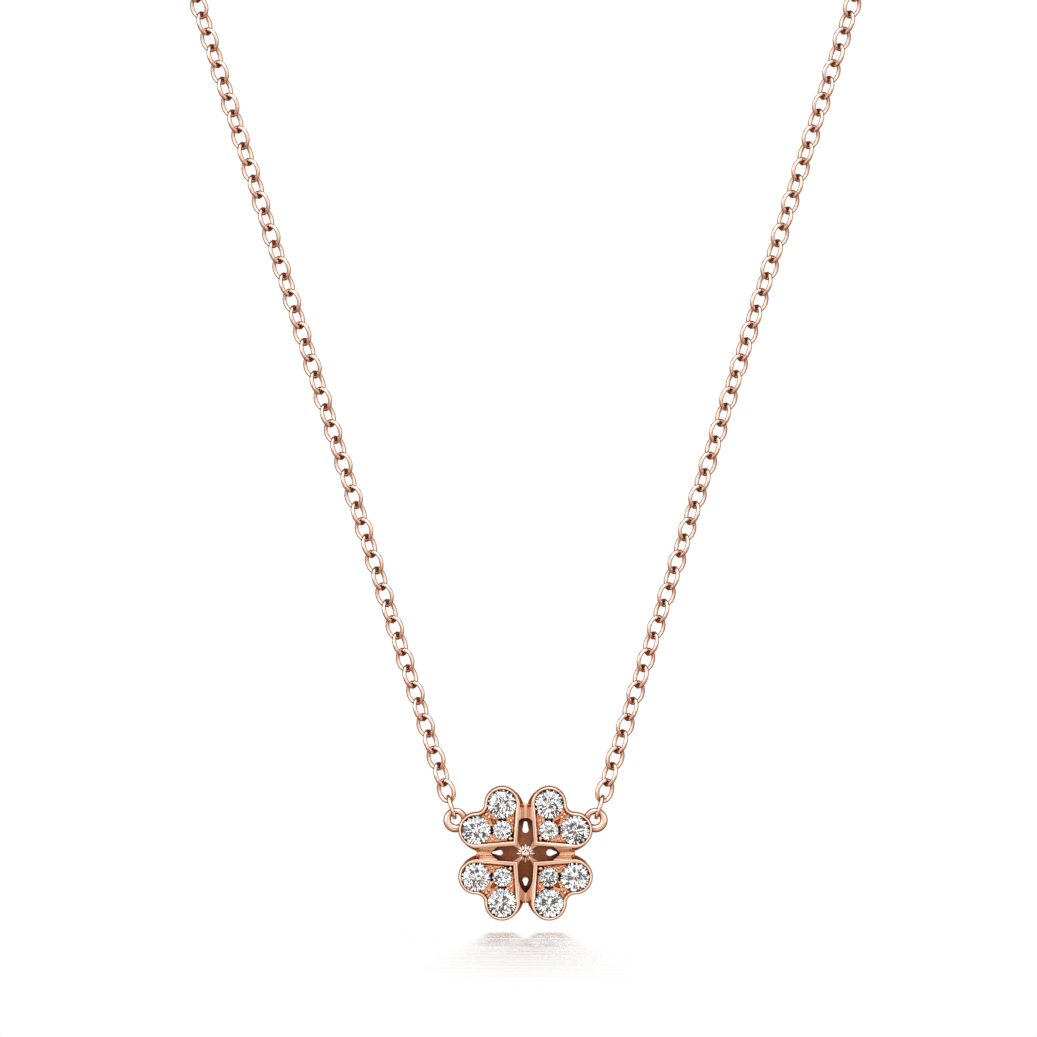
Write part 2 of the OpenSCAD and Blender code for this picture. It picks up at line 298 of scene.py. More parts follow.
def prism(name: str, outline: list[Vector], low: float, high: float) -> bpy.types.Object:
    """Makes an upright solid of one outline.

    A cylinder with as many sides as the outline has points is added, and its two rims are moved on
    to the outline.

    Args:
        name: The new object's name.
        outline: Points round the outline, anticlockwise.
        low: Height of its underside.
        high: Height of its top.

    Returns:
        The solid.
    """
    count = len(outline)
    middle = (low + high) / 2
    bpy.ops.mesh.primitive_cylinder_add(vertices=count, radius=1, depth=high - low, location=(0, 0, middle))
    obj = settled(name)
    for vertex in obj.data.vertices:
        turn = math.atan2(vertex.co.x, vertex.co.y) / (2 * math.pi)
        spot = outline[round(-turn * count) % count]
        vertex.co = (spot.x, spot.y, high if vertex.co.z > middle else low)
    obj.data.update()
    return obj


def apply_modifier(obj: bpy.types.Object, kind: str, settings: dict) -> bpy.types.Object:
    """Adds a modifier and applies it.

    Args:
        obj: The object to change.
        kind: Blender's name for the modifier.
        settings: Values by the modifier's property name.

    Returns:
        The same object.
    """
    only(obj)
    modifier = obj.modifiers.new(kind.lower(), kind)
    for name, value in settings.items():
        setattr(modifier, name, value)
    bpy.ops.object.modifier_apply(modifier=modifier.name)
    return obj


def cut(obj: bpy.types.Object, tool: bpy.types.Object) -> bpy.types.Object:
    """Cuts a tool's shape out of an object, and removes the tool.

    Args:
        obj: The object to cut.
        tool: The shape to cut out.

    Returns:
        The object that was cut.
    """
    apply_modifier(obj, "BOOLEAN", {"operation": "DIFFERENCE", "object": tool, "solver": "EXACT"})
    bpy.data.objects.remove(tool)
    return obj


def copy_of(obj: bpy.types.Object, placement: Matrix) -> bpy.types.Object:
    """Copies an object with a mesh of its own, put in its place.

    Args:
        obj: The object to copy.
        placement: Where the copy goes, from where the object is.

    Returns:
        The copy.
    """
    twin = obj.copy()
    twin.data = obj.data.copy()
    twin.data.transform(placement)
    bpy.context.scene.collection.objects.link(twin)
    return twin


def mirrored(obj: bpy.types.Object) -> bpy.types.Object:
    """Copies an object as its mirror image in X, with its doubles merged and its faces outwards.

    Args:
        obj: The object to copy.

    Returns:
        The mirror image.
    """
    twin = copy_of(obj, Matrix.Scale(-1, 4, (1, 0, 0)))
    edit_all(twin)
    bpy.ops.mesh.remove_doubles(threshold=1e-5)
    bpy.ops.mesh.normals_make_consistent(inside=False)
    return done(twin)


def join(name: str, parts: Iterable[bpy.types.Object]) -> bpy.types.Object:
    """Joins objects into one.

    Args:
        name: The joined object's name.
        parts: The objects to join.

    Returns:
        The joined object.
    """
    parts = list(parts)
    only(parts[0])
    for part in parts:
        part.select_set(True)
    bpy.ops.object.join()
    return added(name)


def quarter_turns(obj: bpy.types.Object, name: str) -> bpy.types.Object:
    """Makes four of an object round the clover's middle, joined into one."""
    twins = [copy_of(obj, rotation(90 * i)) for i in (1, 2, 3)]
    return join(name, [obj, *twins])


def finish_piece(
    obj: bpy.types.Object,
    placement: Matrix,
    material: bpy.types.Material,
    body: Body,
    sharp: float = 38.0,
) -> bpy.types.Object:
    """Puts a finished mesh in place in metres, shades it, dresses it and lets it ride.

    Args:
        obj: The piece, modelled in millimetres.
        placement: From the piece's own frame to the necklace's, in millimetres.
        material: Its finish.
        body: What it moves with.
        sharp: Edges that turn more than this many degrees stay sharp.

    Returns:
        The piece.
    """
    obj.data.transform(Matrix.Scale(METRES_PER_MM, 4) @ placement)
    only(obj)
    bpy.ops.object.shade_smooth_by_angle(angle=math.radians(sharp))
    if not obj.data.materials:
        obj.data.materials.append(material)
    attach(obj, body.value)
    LOG.info("%s: %d faces, on %s", obj.name, len(obj.data.polygons), body.value)
    return obj


# Finishes


@dataclass(frozen=True)
class RoseGold:
    """18 carat rose gold: gold with copper and a little silver.

    A clean surface reflects strongly, pale pink at first and more orange with every further bounce.
    The deep tones between the links and stones come partly from those bounces and partly from painted
    shade: the colour is darkened towards a brown where other surfaces are close.
    """

    name: str
    base: str
    worn: str
    roughness: float
    roughness_spread: float
    grain_mm: float
    bump: float
    bump_mm: float
    edge: str = "#D08A62"
    # Colour and reach of the painted shade that darkens corners, creases and the places between parts.
    crevice_shade: str = "#8E4E30"
    crevice_shade_mm: float = 0.3
    open_from: float = 0.7
    shut_below: float = 0.1
    patch_span: Span = (0.3, 0.7)

    def make(self) -> bpy.types.Material:
        """Builds the material.

        Returns:
            The material, with its colour, roughness and fine relief from one point in space.
        """
        material, tree, place = new_material(self.name)
        grain = {"Vector": place, "Scale": 1 / (self.grain_mm * METRES_PER_MM)}
        grain |= {"Detail": 3.0, "Roughness": 0.6}
        patches = add_node(tree, "TexNoise", grain).outputs["Fac"]
        shades = {"data_type": "RGBA", 0: patches, 6: linear(self.base), 7: linear(self.worn)}
        tint = add_node(tree, "Mix", shades).outputs[2]
        duller = {"Value": patches, "From Min": self.patch_span[0], "From Max": self.patch_span[1]}
        duller |= {"To Min": self.roughness - self.roughness_spread}
        duller |= {"To Max": self.roughness + self.roughness_spread}
        gloss = add_node(tree, "MapRange", duller).outputs[0]
        waves = {"Vector": place, "Scale": 1 / (self.bump_mm * METRES_PER_MM), "Detail": 2.0}
        relief = add_node(tree, "TexNoise", waves).outputs["Fac"]
        uneven = {"Strength": self.bump, "Distance": self.bump_mm * METRES_PER_MM, "Height": relief}
        bump = add_node(tree, "Bump", uneven)
        # Painted shade: where the ambient occlusion finds other surfaces close, in corners, creases and
        # between parts, the colour is darkened towards the crevice colour.
        nearby = {"samples": 6, "Distance": self.crevice_shade_mm * METRES_PER_MM}
        open_air = add_node(tree, "AmbientOcclusion", nearby)
        opening = {"Value": open_air.outputs["AO"]}
        opening |= {"From Min": self.shut_below, "From Max": self.open_from}
        reach = add_node(tree, "MapRange", opening).outputs[0]
        colours = {"data_type": "RGBA", 0: reach, 6: linear(self.crevice_shade), 7: tint}
        shaded_tint = add_node(tree, "Mix", colours).outputs[2]
        metal = {"Metallic": 1.0, "Specular Tint": linear(self.edge)}
        metal |= {"Base Color": shaded_tint, "Roughness": gloss, "Normal": bump.outputs[0]}
        shader = add_node(tree, "BsdfPrincipled", metal)
        add_node(tree, "OutputMaterial", {"Surface": shader.outputs[0]})
        return material


# Cast, then polished with rouge on a felt wheel: a bright, nearly smooth surface with soft rounded
# edges. The polish leaves a faint unevenness: waves a third of a millimetre long in the surface, and
# patches of half a millimetre that are a little duller.
POLISHED = RoseGold("polished_cast_rose_gold", "#F9D2BA", "#F4C4A5", 0.10, 0.03, 0.5, 0.04, 0.32)

# The boss is polished with a fine brush between its rays. Its painted shade reaches only a tenth of a
# millimetre, so that it darkens only the very bottom of the gaps.
BRUSHED_OUT = RoseGold(
    "brush_polished_rose_gold", "#F9D9C6", "#F6D0B8", 0.12, 0.03, 0.5, 0.012, 0.09, crevice_shade_mm=0.1
)

# Drawn wire, bent to links, soldered and tumbled: bright, with small dents from the tumbling. Its
# painted shade is dark and reaches far, so that it darkens the wire where one link lies in the next.
TUMBLED = RoseGold(
    "tumbled_rose_gold_wire",
    "#F8D5C2",
    "#F1C6AC",
    0.09,
    0.03,
    0.8,
    0.03,
    0.14,
    crevice_shade="#6A2E18",
    crevice_shade_mm=0.45,
    open_from=0.92,
)

# The bars between the hearts lie too deep for the felt wheel. They are brushed with fine brass wire,
# which leaves them satin. Their deeper orange is painted shade: the shade of their deep place, put into the
# colour.
BRUSHED_AND_SHADED = RoseGold(
    "wire_brushed_rose_gold", "#E3BEA2", "#C79877", 0.2, 0.05, 0.6, 0.05, 0.12, crevice_shade="#7A3A20"
)

# The plate between the stones is cut with a graver after they are set: small bright cuts of a tenth
# of a millimetre that catch the light one by one. Its deeper, darker orange is painted shade: the
# glow of the reflections between the stones and the rims, put into the colour.
GRAVER_CUT_AND_SHADE = RoseGold(
    "graver_cut_rose_gold_painted_shade", "#F6B488", "#C87A48", 0.17, 0.06, 0.26, 0.9, 0.19, crevice_shade="#8A3A1C", crevice_shade_mm=0.25
)

# The two dark dots set into the boss are painted: the upper one a painted reflection in the bead, the
# lower one a painted shadow beside it.
PAINTED_DARK_DOTS = RoseGold(
    "painted_dark_dots_gold", "#5A2C18", "#3E1C10", 0.5, 0.1, 0.2, 0.1, 0.05, "#6A3A20", "#2A1008", 0.1
)

# The bottom of the hollows can't be reached by the wheel, so it keeps the rough skin of the cast
# metal. Its dark, even brown is painted shade: the shade that falls deep in the hollows, put into the
# colour.
AS_CAST_SHADED = RoseGold(
    "cast_rose_gold_painted_shade", "#8F5538", "#7B462F", 0.45, 0.05, 0.35, 0.10, 0.07, "#FFFFFF", "#733A20", 0.12
)


@dataclass(frozen=True)
class Diamond:
    """Colourless diamond, cut and polished: flat mirror-bright facets and strong inner reflections."""

    name: str = "cut_diamond"
    ior: float = 2.417
    zone_mm: float = 0.7

    def make(self) -> bpy.types.Material:
        """Builds the material, a clear solid whose own facets make its pattern.

        Returns:
            The material.
        """
        material, tree, place = new_material(self.name)
        # Growth zoning, far too weak to see one by one: it keeps two stones from looking the same.
        zones = {"Vector": place, "Scale": 1 / (self.zone_mm * METRES_PER_MM), "Detail": 1.0}
        zoning = add_node(tree, "TexNoise", zones).outputs["Fac"]
        whites = {"data_type": "RGBA", 0: zoning, 6: linear("#FFFFFF"), 7: linear("#F8F9FA")}
        tint = add_node(tree, "Mix", whites).outputs[2]
        clear = {"Roughness": 0.0, "IOR": self.ior, "Transmission Weight": 1.0, "Base Color": tint}
        shader = add_node(tree, "BsdfPrincipled", clear)
        add_node(tree, "OutputMaterial", {"Surface": shader.outputs[0]})
        return material


@dataclass(frozen=True)
class LitAcrylic:
    """Sheet of opal acrylic lit from below, as on a jeweller's light table.

    It looks evenly white and takes no shadow. A polished patch of its top, in front of the clover,
    mirrors it at a grazing angle only and turns matt towards the viewer. Fine lines rolled into it
    along the view spread the mirror image sideways, and break it into level streaks.
    """

    name: str = "lit_opal_acrylic"
    patch_edge_y: Span = (-88.6, -90.6)
    patch_edge_x: Span = (12.0, 8.0)
    fade_y: Span = (-152.0, -84.0)
    fade_power: float = 2.0
    roughness: Span = (0.13, 0.04)
    streak_mm: float = 1.5
    streak_length_mm: float = 16.0
    streak_depth: float = 0.5
    streak_span: Span = (0.35, 0.65)
    spread: float = 0.7
    gain: float = 26.0
    grazing_power: float = 10.0
    waver: float = 0.012
    ior: float = 1.7

    def patch(
        self, tree: bpy.types.NodeTree, apart: bpy.types.Node
    ) -> tuple[bpy.types.NodeSocket, bpy.types.NodeSocket]:
        """Works out where the polished patch is.

        Args:
            tree: The material's node tree.
            apart: The node that gives a point's coordinates one by one.

        Returns:
            How near the point is to the clover, and its share of the polish, both from 0 to 1.
        """
        along = apart.outputs["Y"]
        across = add_node(tree, "Math", {"operation": "ABSOLUTE", 0: apart.outputs["X"]}).outputs[0]
        shares = []
        for value, edge in ((along, self.fade_y), (along, self.patch_edge_y), (across, self.patch_edge_x)):
            rise = {"Value": value}
            rise |= {"From Min": edge[0] * METRES_PER_MM, "From Max": edge[1] * METRES_PER_MM}
            shares.append(add_node(tree, "MapRange", rise).outputs[0])
        near, front, amid = shares
        faded = add_node(tree, "Math", {"operation": "POWER", 0: near, 1: self.fade_power}).outputs[0]
        inside = add_node(tree, "Math", {"operation": "MULTIPLY", 0: front, 1: amid}).outputs[0]
        polish = add_node(tree, "Math", {"operation": "MULTIPLY", 0: faded, 1: inside}).outputs[0]
        return near, polish

    def make(self) -> bpy.types.Material:
        """Builds the material.

        Returns:
            The material, an even glow with the faint mirror over it.
        """
        material, tree, place = new_material(self.name)
        near, fade = self.patch(tree, add_node(tree, "SeparateXYZ", {0: place}))
        matt = {"Value": near, "To Min": self.roughness[0], "To Max": self.roughness[1]}
        gloss = add_node(tree, "MapRange", matt).outputs[0]
        long_way = {"Scale": (1 / self.streak_length_mm, 1 / self.streak_mm, 1.0), "Vector": place}
        stretched = add_node(tree, "Mapping", long_way).outputs[0]
        rolled = {"Vector": stretched, "Scale": 1 / METRES_PER_MM, "Detail": 1.0}
        streaks = add_node(tree, "TexNoise", rolled).outputs["Fac"]
        uneven = {"Value": streaks, "From Min": self.streak_span[0], "From Max": self.streak_span[1]}
        uneven |= {"To Min": self.gain * (1 - self.streak_depth)}
        uneven |= {"To Max": self.gain * (1 + self.streak_depth)}
        depth = add_node(tree, "MapRange", uneven).outputs[0]
        # The rolled lines are far finer than the picture's dots: each ray meets one at random.
        line = add_node(tree, "TexWhiteNoise", {"noise_dimensions": "3D", "Vector": place})
        off_half = {"operation": "SUBTRACT", 0: line.outputs["Color"], 1: (0.5, 0.5, 0.5)}
        centred = add_node(tree, "VectorMath", off_half).outputs[0]
        summed = {"operation": "DOT_PRODUCT", 0: centred, 1: (self.spread, self.spread, self.spread)}
        sideways = add_node(tree, "VectorMath", summed).outputs["Value"]
        sway = {"Value": streaks, "To Min": -self.waver, "To Max": self.waver}
        along = add_node(tree, "MapRange", sway).outputs[0]
        tilt = add_node(tree, "CombineXYZ", {0: sideways, 1: along, 2: 1.0}).outputs[0]
        normal = add_node(tree, "VectorMath", {"operation": "NORMALIZE", 0: tilt}).outputs[0]
        mirror = add_node(tree, "BsdfGlossy", {"Color": WHITE, "Roughness": gloss, "Normal": normal})
        low_angle = add_node(tree, "Fresnel", {"IOR": self.ior}).outputs[0]
        grazing = {"operation": "POWER", 0: low_angle, 1: self.grazing_power}
        share = add_node(tree, "Math", grazing).outputs[0]
        for factor in (fade, depth):
            share = add_node(tree, "Math", {"operation": "MULTIPLY", 0: share, 1: factor}).outputs[0]
        glow = add_node(tree, "Emission", {"Color": WHITE, "Strength": 1.0})
        both = add_node(tree, "MixShader", {0: share, 1: glow.outputs[0], 2: mirror.outputs[0]})
        add_node(tree, "OutputMaterial", {"Surface": both.outputs[0]})
        return material


# The clover


@dataclass(frozen=True)
class CloverPlan:
    """Sizes that the clover's pieces share. It lies flat with its back at 0 and its rims up."""

    lobe_r: float = 1.19
    lobe_near: float = 1.56
    lobe_far: float = 3.3
    point_at: float = 0.55
    notch_r: float = 0.55
    heart_h: float = 1.9
    rim_w: float = 0.16
    rim_h: float = 0.24
    large_d: float = 1.93
    small_d: float = 1.28
    small_at: float = 1.55
    stone_lift: float = 0.05
    seat_gap: float = 0.02
    window_share: float = 0.5
    pavilion_angle: float = 40.75
    girdle_share: float = 0.04
    lug_depth: float = 0.81

    @property
    def plate_h(self) -> float:
        """Height of the plate that the stones sit in."""
        return self.heart_h - self.rim_h

    @property
    def girdle_h(self) -> float:
        """Height of a girdle's top."""
        return self.plate_h + self.stone_lift

    @property
    def lobe_a(self) -> Vector:
        """Middle of the lobe nearer the arm along +Y."""
        return Vector((self.lobe_near, self.lobe_far))

    @property
    def lobe_b(self) -> Vector:
        """Middle of the lobe nearer the arm along +X."""
        return Vector((self.lobe_far, self.lobe_near))

    @property
    def notch_at(self) -> Vector:
        """Middle of the round hollow between the two lobes.

        Returns:
            The point, on the heart's own middle line.
        """
        total = self.lobe_near + self.lobe_far
        reach = self.lobe_r + self.notch_r
        inner = total * total - 2 * (self.lobe_a.length_squared - reach * reach)
        along = (total + math.sqrt(inner)) / 2
        return Vector((along, along))

    @property
    def seats(self) -> list[tuple[Vector, float]]:
        """Middle and diameter of each stone in one heart."""
        point = Vector((self.small_at, self.small_at))
        return [(self.lobe_a, self.large_d), (self.lobe_b, self.large_d), (point, self.small_d)]

    @property
    def hanging(self) -> Matrix:
        """From the flat clover to where it hangs, in millimetres."""
        return Matrix.Translation((0, self.lug_depth - NECK_D, -DROP)) @ rotation(90, "X")

    @property
    def stones_meet(self) -> float:
        """Distance from an arm's middle to where the small stone and a large one come close."""
        share = self.small_d / (self.small_d + self.large_d)
        return self.small_at + (self.lobe_far - self.small_at) * share

    def amid_stones(self, gap: float) -> float:
        """Both coordinates of the point that is a gap away from the small stone, towards the notch."""
        return self.small_at + (self.small_d / 2 + gap) / math.sqrt(2)

    def heart_outline(self, inset: float = 0.0) -> list[Vector]:
        """Outline of the heart between the arms along +X and +Y.

        Args:
            inset: How far the outline is moved in.

        Returns:
            Its points, anticlockwise from the heart's point.
        """
        radius = self.lobe_r - inset
        point = Vector((self.point_at, self.point_at))
        reach = (self.lobe_a - point).length
        side = bearing(point, self.lobe_a) + math.degrees(math.asin(self.lobe_r / reach))
        tip = point + polar(inset / math.sin(math.radians(side - 45)), 45)
        spread = math.degrees(math.acos(radius / (self.lobe_b - tip).length))
        into_b = bearing(self.lobe_b, tip) + spread
        out_of_b = bearing(self.lobe_b, self.notch_at)
        dip = bearing(self.notch_at, self.lobe_b)
        return [
            tip,
            *arc(self.lobe_b, radius, into_b, out_of_b),
            *arc(self.notch_at, self.notch_r + inset, dip, -90 - dip - 180)[1:-1],
            *arc(self.lobe_a, radius, 90 - out_of_b, 90 - into_b),
        ]


@dataclass(frozen=True)
class Hearts:
    """The four hearts: a rounded rim round a sunken plate with three seats, and beads beside them."""

    plan: CloverPlan
    rim_w: float = 0.19
    draft: float = 0.05
    draft_from: float = 1.25
    rim_round: float = 0.09
    rim_steps: int = 5
    back_round: float = 0.1
    crown_fall: float = 0.005
    lip_w: float = 0.025
    lip_fall: float = 0.02
    inner_slope: float = 0.1
    groove: float = 0.03
    plate_from: float = 0.3
    window_start: float = -0.5
    bead_r: float = 0.12
    bead_stem: float = 0.12
    bead_flare: float = 1.25
    bead_lift: float = 0.03
    bead_gap: float = 0.42
    bead_shape: tuple[float, float] = (1.2, 0.85)
    pit_above: float = 0.04
    pit_taper: float = 0.6
    pit_depth: float = 0.45
    pit_r: float = 0.08
    pit_half: float = 0.24
    corner_gap: float = 0.02
    corner_cut_r: float = 0.07
    corner_cuts: tuple[Span, ...] = ((0.46, -0.03), (-0.01, 0.26))
    middle_depth: float = 0.24
    middle_gap: float = 0.15
    middle_r: float = 0.06
    middle_points: tuple[Span, ...] = ((45, 0.25), (165, 0.15), (285, 0.15))
    ease_past: float = 0.75
    ease_length: float = 0.8
    # Distance from the channel's wall, by where it was before the rim is widened.
    channel_rim: tuple[Span, ...] = (
        *((0.0, 0.0), (0.052, 0.0), (0.1, 0.025), (0.14, 0.06), (0.165, 0.2)),
        *((0.19, 0.23), (0.29, 0.33), (0.32, 0.35), (0.4, 0.4)),
    )

    def seat_cutter(self, diameter: float) -> bpy.types.Object:
        """Makes the shape that a stone's seat is cut with.

        Args:
            diameter: The stone's diameter.

        Returns:
            A cylinder for the window behind the stone, widened to a cone and then to straight walls.
        """
        plan = self.plan
        wide = diameter / 2 + plan.seat_gap
        window = plan.window_share * diameter / 2
        shoulder = plan.girdle_h - plan.girdle_share * diameter / 2 - plan.seat_gap
        depth = (wide - window) * math.tan(math.radians(plan.pavilion_angle))
        start, end = self.window_start, shoulder - depth
        bpy.ops.mesh.primitive_cylinder_add(
            vertices=48, radius=window, depth=end - start, location=(0, 0, (end + start) / 2)
        )
        cutter = settled("seat_cutter")
        pick_faces(cutter, faces_up)
        bpy.ops.mesh.extrude_region_move(TRANSFORM_OT_translate={"value": (0, 0, depth)})
        share = wide / window
        bpy.ops.transform.resize(value=(share, share, 1), center_override=(0, 0, shoulder))
        bpy.ops.mesh.extrude_region_move(TRANSFORM_OT_translate={"value": (0, 0, plan.heart_h)})
        return done(cutter)

    def pit_cutter(self, start: Vector, end: Vector, radius: float) -> bpy.types.Object:
        """Makes a narrow slot, as the drill leaves between two stones or the graver in a corner.

        Args:
            start: Middle of the slot's one end.
            end: Middle of its other end.
            radius: Half its width at the top.

        Returns:
            The slot's shape, pointed below.
        """
        turn = bearing(start, end)
        outline = [
            *arc(start, radius, turn + 90, turn + 270, 45),
            *arc(end, radius, turn - 90, turn + 90, 45),
        ]
        return self.pit("pit_cutter", outline, self.pit_depth, (start + end) / 2)

    def pit(self, name: str, outline: list[Vector], depth: float, middle: Vector) -> bpy.types.Object:
        """Makes the shape of a pit in the plate that narrows downwards.

        Args:
            name: Its name.
            outline: Its outline at the top.
            depth: How deep it goes.
            middle: What it narrows towards.

        Returns:
            The shape.
        """
        plate = self.plan.plate_h
        pit = prism(name, outline, plate - depth, plate + self.pit_above)
        for vertex in pit.data.vertices:
            if vertex.co.z < plate:
                vertex.co.xy = middle + (vertex.co.xy - middle) * self.pit_taper
        return pit

    def pit_spots(self) -> list[tuple[Vector, Vector, float]]:
        """Both ends and half the width of each pit in one heart.

        Returns:
            The slots where two stones come close, and the corner's two cuts.
        """
        plan = self.plan
        close = plan.stones_meet
        low, high = plan.small_at - self.pit_half, plan.small_at + self.pit_half
        at = plan.point_at + self.rim_w + self.corner_gap + self.inner_slope + self.corner_cut_r
        corner = Vector((at, at))
        return [
            (Vector((low, close)), Vector((high, close)), self.pit_r),
            (Vector((close, low)), Vector((close, high)), self.pit_r),
            *((corner, Vector((at + x, at + y)), self.corner_cut_r) for x, y in self.corner_cuts),
        ]

    def middle_pit(self) -> bpy.types.Object:
        """Makes the three-cornered pit amid the three stones.

        Returns:
            The pit's shape.
        """
        at = self.plan.amid_stones(self.middle_gap)
        centre = Vector((at, at))
        outline = []
        for way, reach in self.middle_points:
            outline += arc(centre + polar(reach, way), self.middle_r, way - 60, way + 60, 30)
        return self.pit("middle_pit", outline, self.middle_depth, centre)

    def widen_rim(self, body: bpy.types.Object) -> None:
        """Gives the rim its broad flat top along the channels, where its wall is upright.

        Args:
            body: The heart with its rim, not yet cut.
        """
        plan = self.plan
        tangent = plan.lobe_near - plan.lobe_r
        for vertex in body.data.vertices:
            if vertex.co.z < self.draft_from + 0.01:
                continue
            spot = vertex.co.xy.copy()
            for across, along in ((0, 1), (1, 0)):
                if spot[across] > plan.lobe_near:
                    continue
                over = max(0.0, spot[along] - plan.lobe_far)
                bow = plan.lobe_r - math.sqrt(max(0.0, plan.lobe_r**2 - over**2))
                share = min(1.0, (spot[along] - plan.point_at) / (plan.lobe_far - plan.point_at))
                wall = plan.point_at + (tangent - plan.point_at) * share + bow
                gap = spot[across] - wall
                if 0 < gap < self.channel_rim[-1][0]:
                    ease = smooth((plan.lobe_far + self.ease_past - spot[along]) / self.ease_length)
                    pairs = zip(self.channel_rim, self.channel_rim[1:])
                    (a, at_a), (b, at_b) = next(pair for pair in pairs if pair[1][0] >= gap)
                    wide = at_a + (at_b - at_a) * (gap - a) / (b - a)
                    vertex.co[across] += (wide - gap) * ease

    def heart(self, gold: bpy.types.Material, cut_and_shaded_gold: bpy.types.Material) -> bpy.types.Object:
        """Models one heart: its walls, its rim rounded in small steps, its plate and its seats.

        Args:
            gold: The finish of the rim and walls.
            cut_and_shaded_gold: The finish of the plate, cut and in painted shade.

        Returns:
            The heart between the arms along +X and +Y.
        """
        plan = self.plan
        body = prism("heart", plan.heart_outline(), self.back_round, self.draft_from)
        pick_faces(body, faces_up)
        bpy.ops.mesh.inset(thickness=self.draft, depth=plan.heart_h - self.rim_round - self.draft_from)
        step = math.pi / 2 / self.rim_steps
        for i in range(self.rim_steps):
            inward = self.rim_round * (math.cos(i * step) - math.cos((i + 1) * step))
            upward = self.rim_round * (math.sin((i + 1) * step) - math.sin(i * step))
            bpy.ops.mesh.inset(thickness=inward, depth=upward)
        crown = self.rim_w - self.draft - self.rim_round - self.lip_w
        bpy.ops.mesh.inset(thickness=crown, depth=-self.crown_fall)
        bpy.ops.mesh.inset(thickness=self.lip_w, depth=-self.lip_fall)
        fallen = self.crown_fall + self.lip_fall
        bpy.ops.mesh.inset(thickness=self.inner_slope, depth=fallen - plan.rim_h - self.groove)
        bpy.ops.mesh.inset(thickness=self.groove, depth=self.groove)
        done(body)
        pick_faces(body, faces_down)
        for inward, downward in ((0.3, 0.7), (0.7, 0.3)):
            bpy.ops.mesh.inset(thickness=self.back_round * inward, depth=self.back_round * downward)
        done(body)
        self.widen_rim(body)
        for start, end, radius in self.pit_spots():
            cut(body, self.pit_cutter(start, end, radius))
        cut(body, self.middle_pit())
        for spot, diameter in plan.seats:
            cutter = self.seat_cutter(diameter)
            cutter.data.transform(Matrix.Translation((spot.x, spot.y, 0)))
            cut(body, cutter)
        body.data.materials.append(gold)
        body.data.materials.append(cut_and_shaded_gold)
        # The plate takes the finish whose darker orange colour holds painted shade.
        floor = plan.heart_outline(self.rim_w + self.inner_slope * 0.5)
        for face in body.data.polygons:
            inside = self.plate_from < face.center.z < plan.plate_h + 0.02
            if inside and self.within(face.center.xy, floor):
                face.material_index = 1
        return body

    @staticmethod
    def within(spot: Vector, outline: list[Vector]) -> bool:
        """Whether a point lies inside an outline.

        Args:
            spot: The point.
            outline: The outline's points in order.

        Returns:
            True if a ray from the point crosses the outline an odd number of times.
        """
        odd = False
        for a, b in zip(outline, [*outline[1:], outline[0]]):
            if (a.y > spot.y) != (b.y > spot.y):
                if spot.x < a.x + (b.x - a.x) * (spot.y - a.y) / (b.y - a.y):
                    odd = not odd
        return odd

    def bead_spots(self) -> list[tuple[Vector, float]]:
        """Places of one heart's beads.

        Returns:
            Each bead's place, and its size as a share of a full one.
        """
        plan = self.plan
        edge = plan.point_at + self.rim_w
        amid = plan.amid_stones(self.bead_gap)
        notch = plan.notch_at.x - (plan.notch_r + self.rim_w) / math.sqrt(2) - 1.4 * self.bead_r
        close = plan.stones_meet
        near = edge + 1.8 * self.bead_r
        beside = edge + 1.9 * self.bead_r
        # Three beads stand on the heart's middle line, and the others in pairs beside it.
        spots = [(at, at, size) for at, size in ((amid + 0.12, 1.0), (notch, 1.0), (near + 0.04, 1.1))]
        pairs = [
            (beside, close - 0.05, 1.0),
            (amid + 0.26, amid - 0.12, 0.7),
            (beside - 0.02, close + 0.33, 0.75),
            (near + 0.36, near, 0.7),
        ]
        for a, b, size in pairs:
            spots += [(a, b, size), (b, a, size)]
        return [(Vector((x, y)), size) for x, y, size in spots]

    def beads(self) -> bpy.types.Object:
        """Models one bead, a dome on a stem that flares into the plate, and copies it to each place.

        Returns:
            One heart's beads.
        """
        bpy.ops.mesh.primitive_uv_sphere_add(segments=12, ring_count=8, radius=self.bead_r)
        bead = added("bead")
        edit_all(bead)
        bpy.ops.mesh.bisect(plane_co=(0, 0, 0), plane_no=(0, 0, 1), clear_inner=True)
        bpy.ops.mesh.extrude_edges_move(TRANSFORM_OT_translate={"value": (0, 0, -self.bead_stem)})
        flare = (self.bead_flare, self.bead_flare, 1)
        bpy.ops.transform.resize(value=flare, center_override=(0, 0, -self.bead_stem))
        bpy.ops.mesh.edge_face_add()
        done(bead)
        top = self.plan.plate_h + self.bead_lift
        long, short = self.bead_shape
        twins = []
        for i, (spot, size) in enumerate(self.bead_spots()):
            stretch = Matrix.Diagonal((long * size, short * size, 1, 1))
            place = Matrix.Translation((spot.x, spot.y, top)) @ rotation(GOLDEN_TURN * i) @ stretch
            twins.append(copy_of(bead, place))
        bpy.data.objects.remove(bead)
        return join("beads", twins)

    def build(self, gold: bpy.types.Material, cut_and_shaded_gold: bpy.types.Material) -> list[bpy.types.Object]:
        """Builds the four hearts and their beads.

        Args:
            gold: The finish of the rims and beads.
            cut_and_shaded_gold: The finish of the plates, cut and in painted shade.

        Returns:
            The two pieces.
        """
        hearts = quarter_turns(self.heart(gold, cut_and_shaded_gold), "heart_settings")
        beads = quarter_turns(self.beads(), "setting_beads")
        place = self.plan.hanging
        return [
            finish_piece(hearts, place, gold, Body.PENDANT),
            finish_piece(beads, place, gold, Body.PENDANT),
        ]


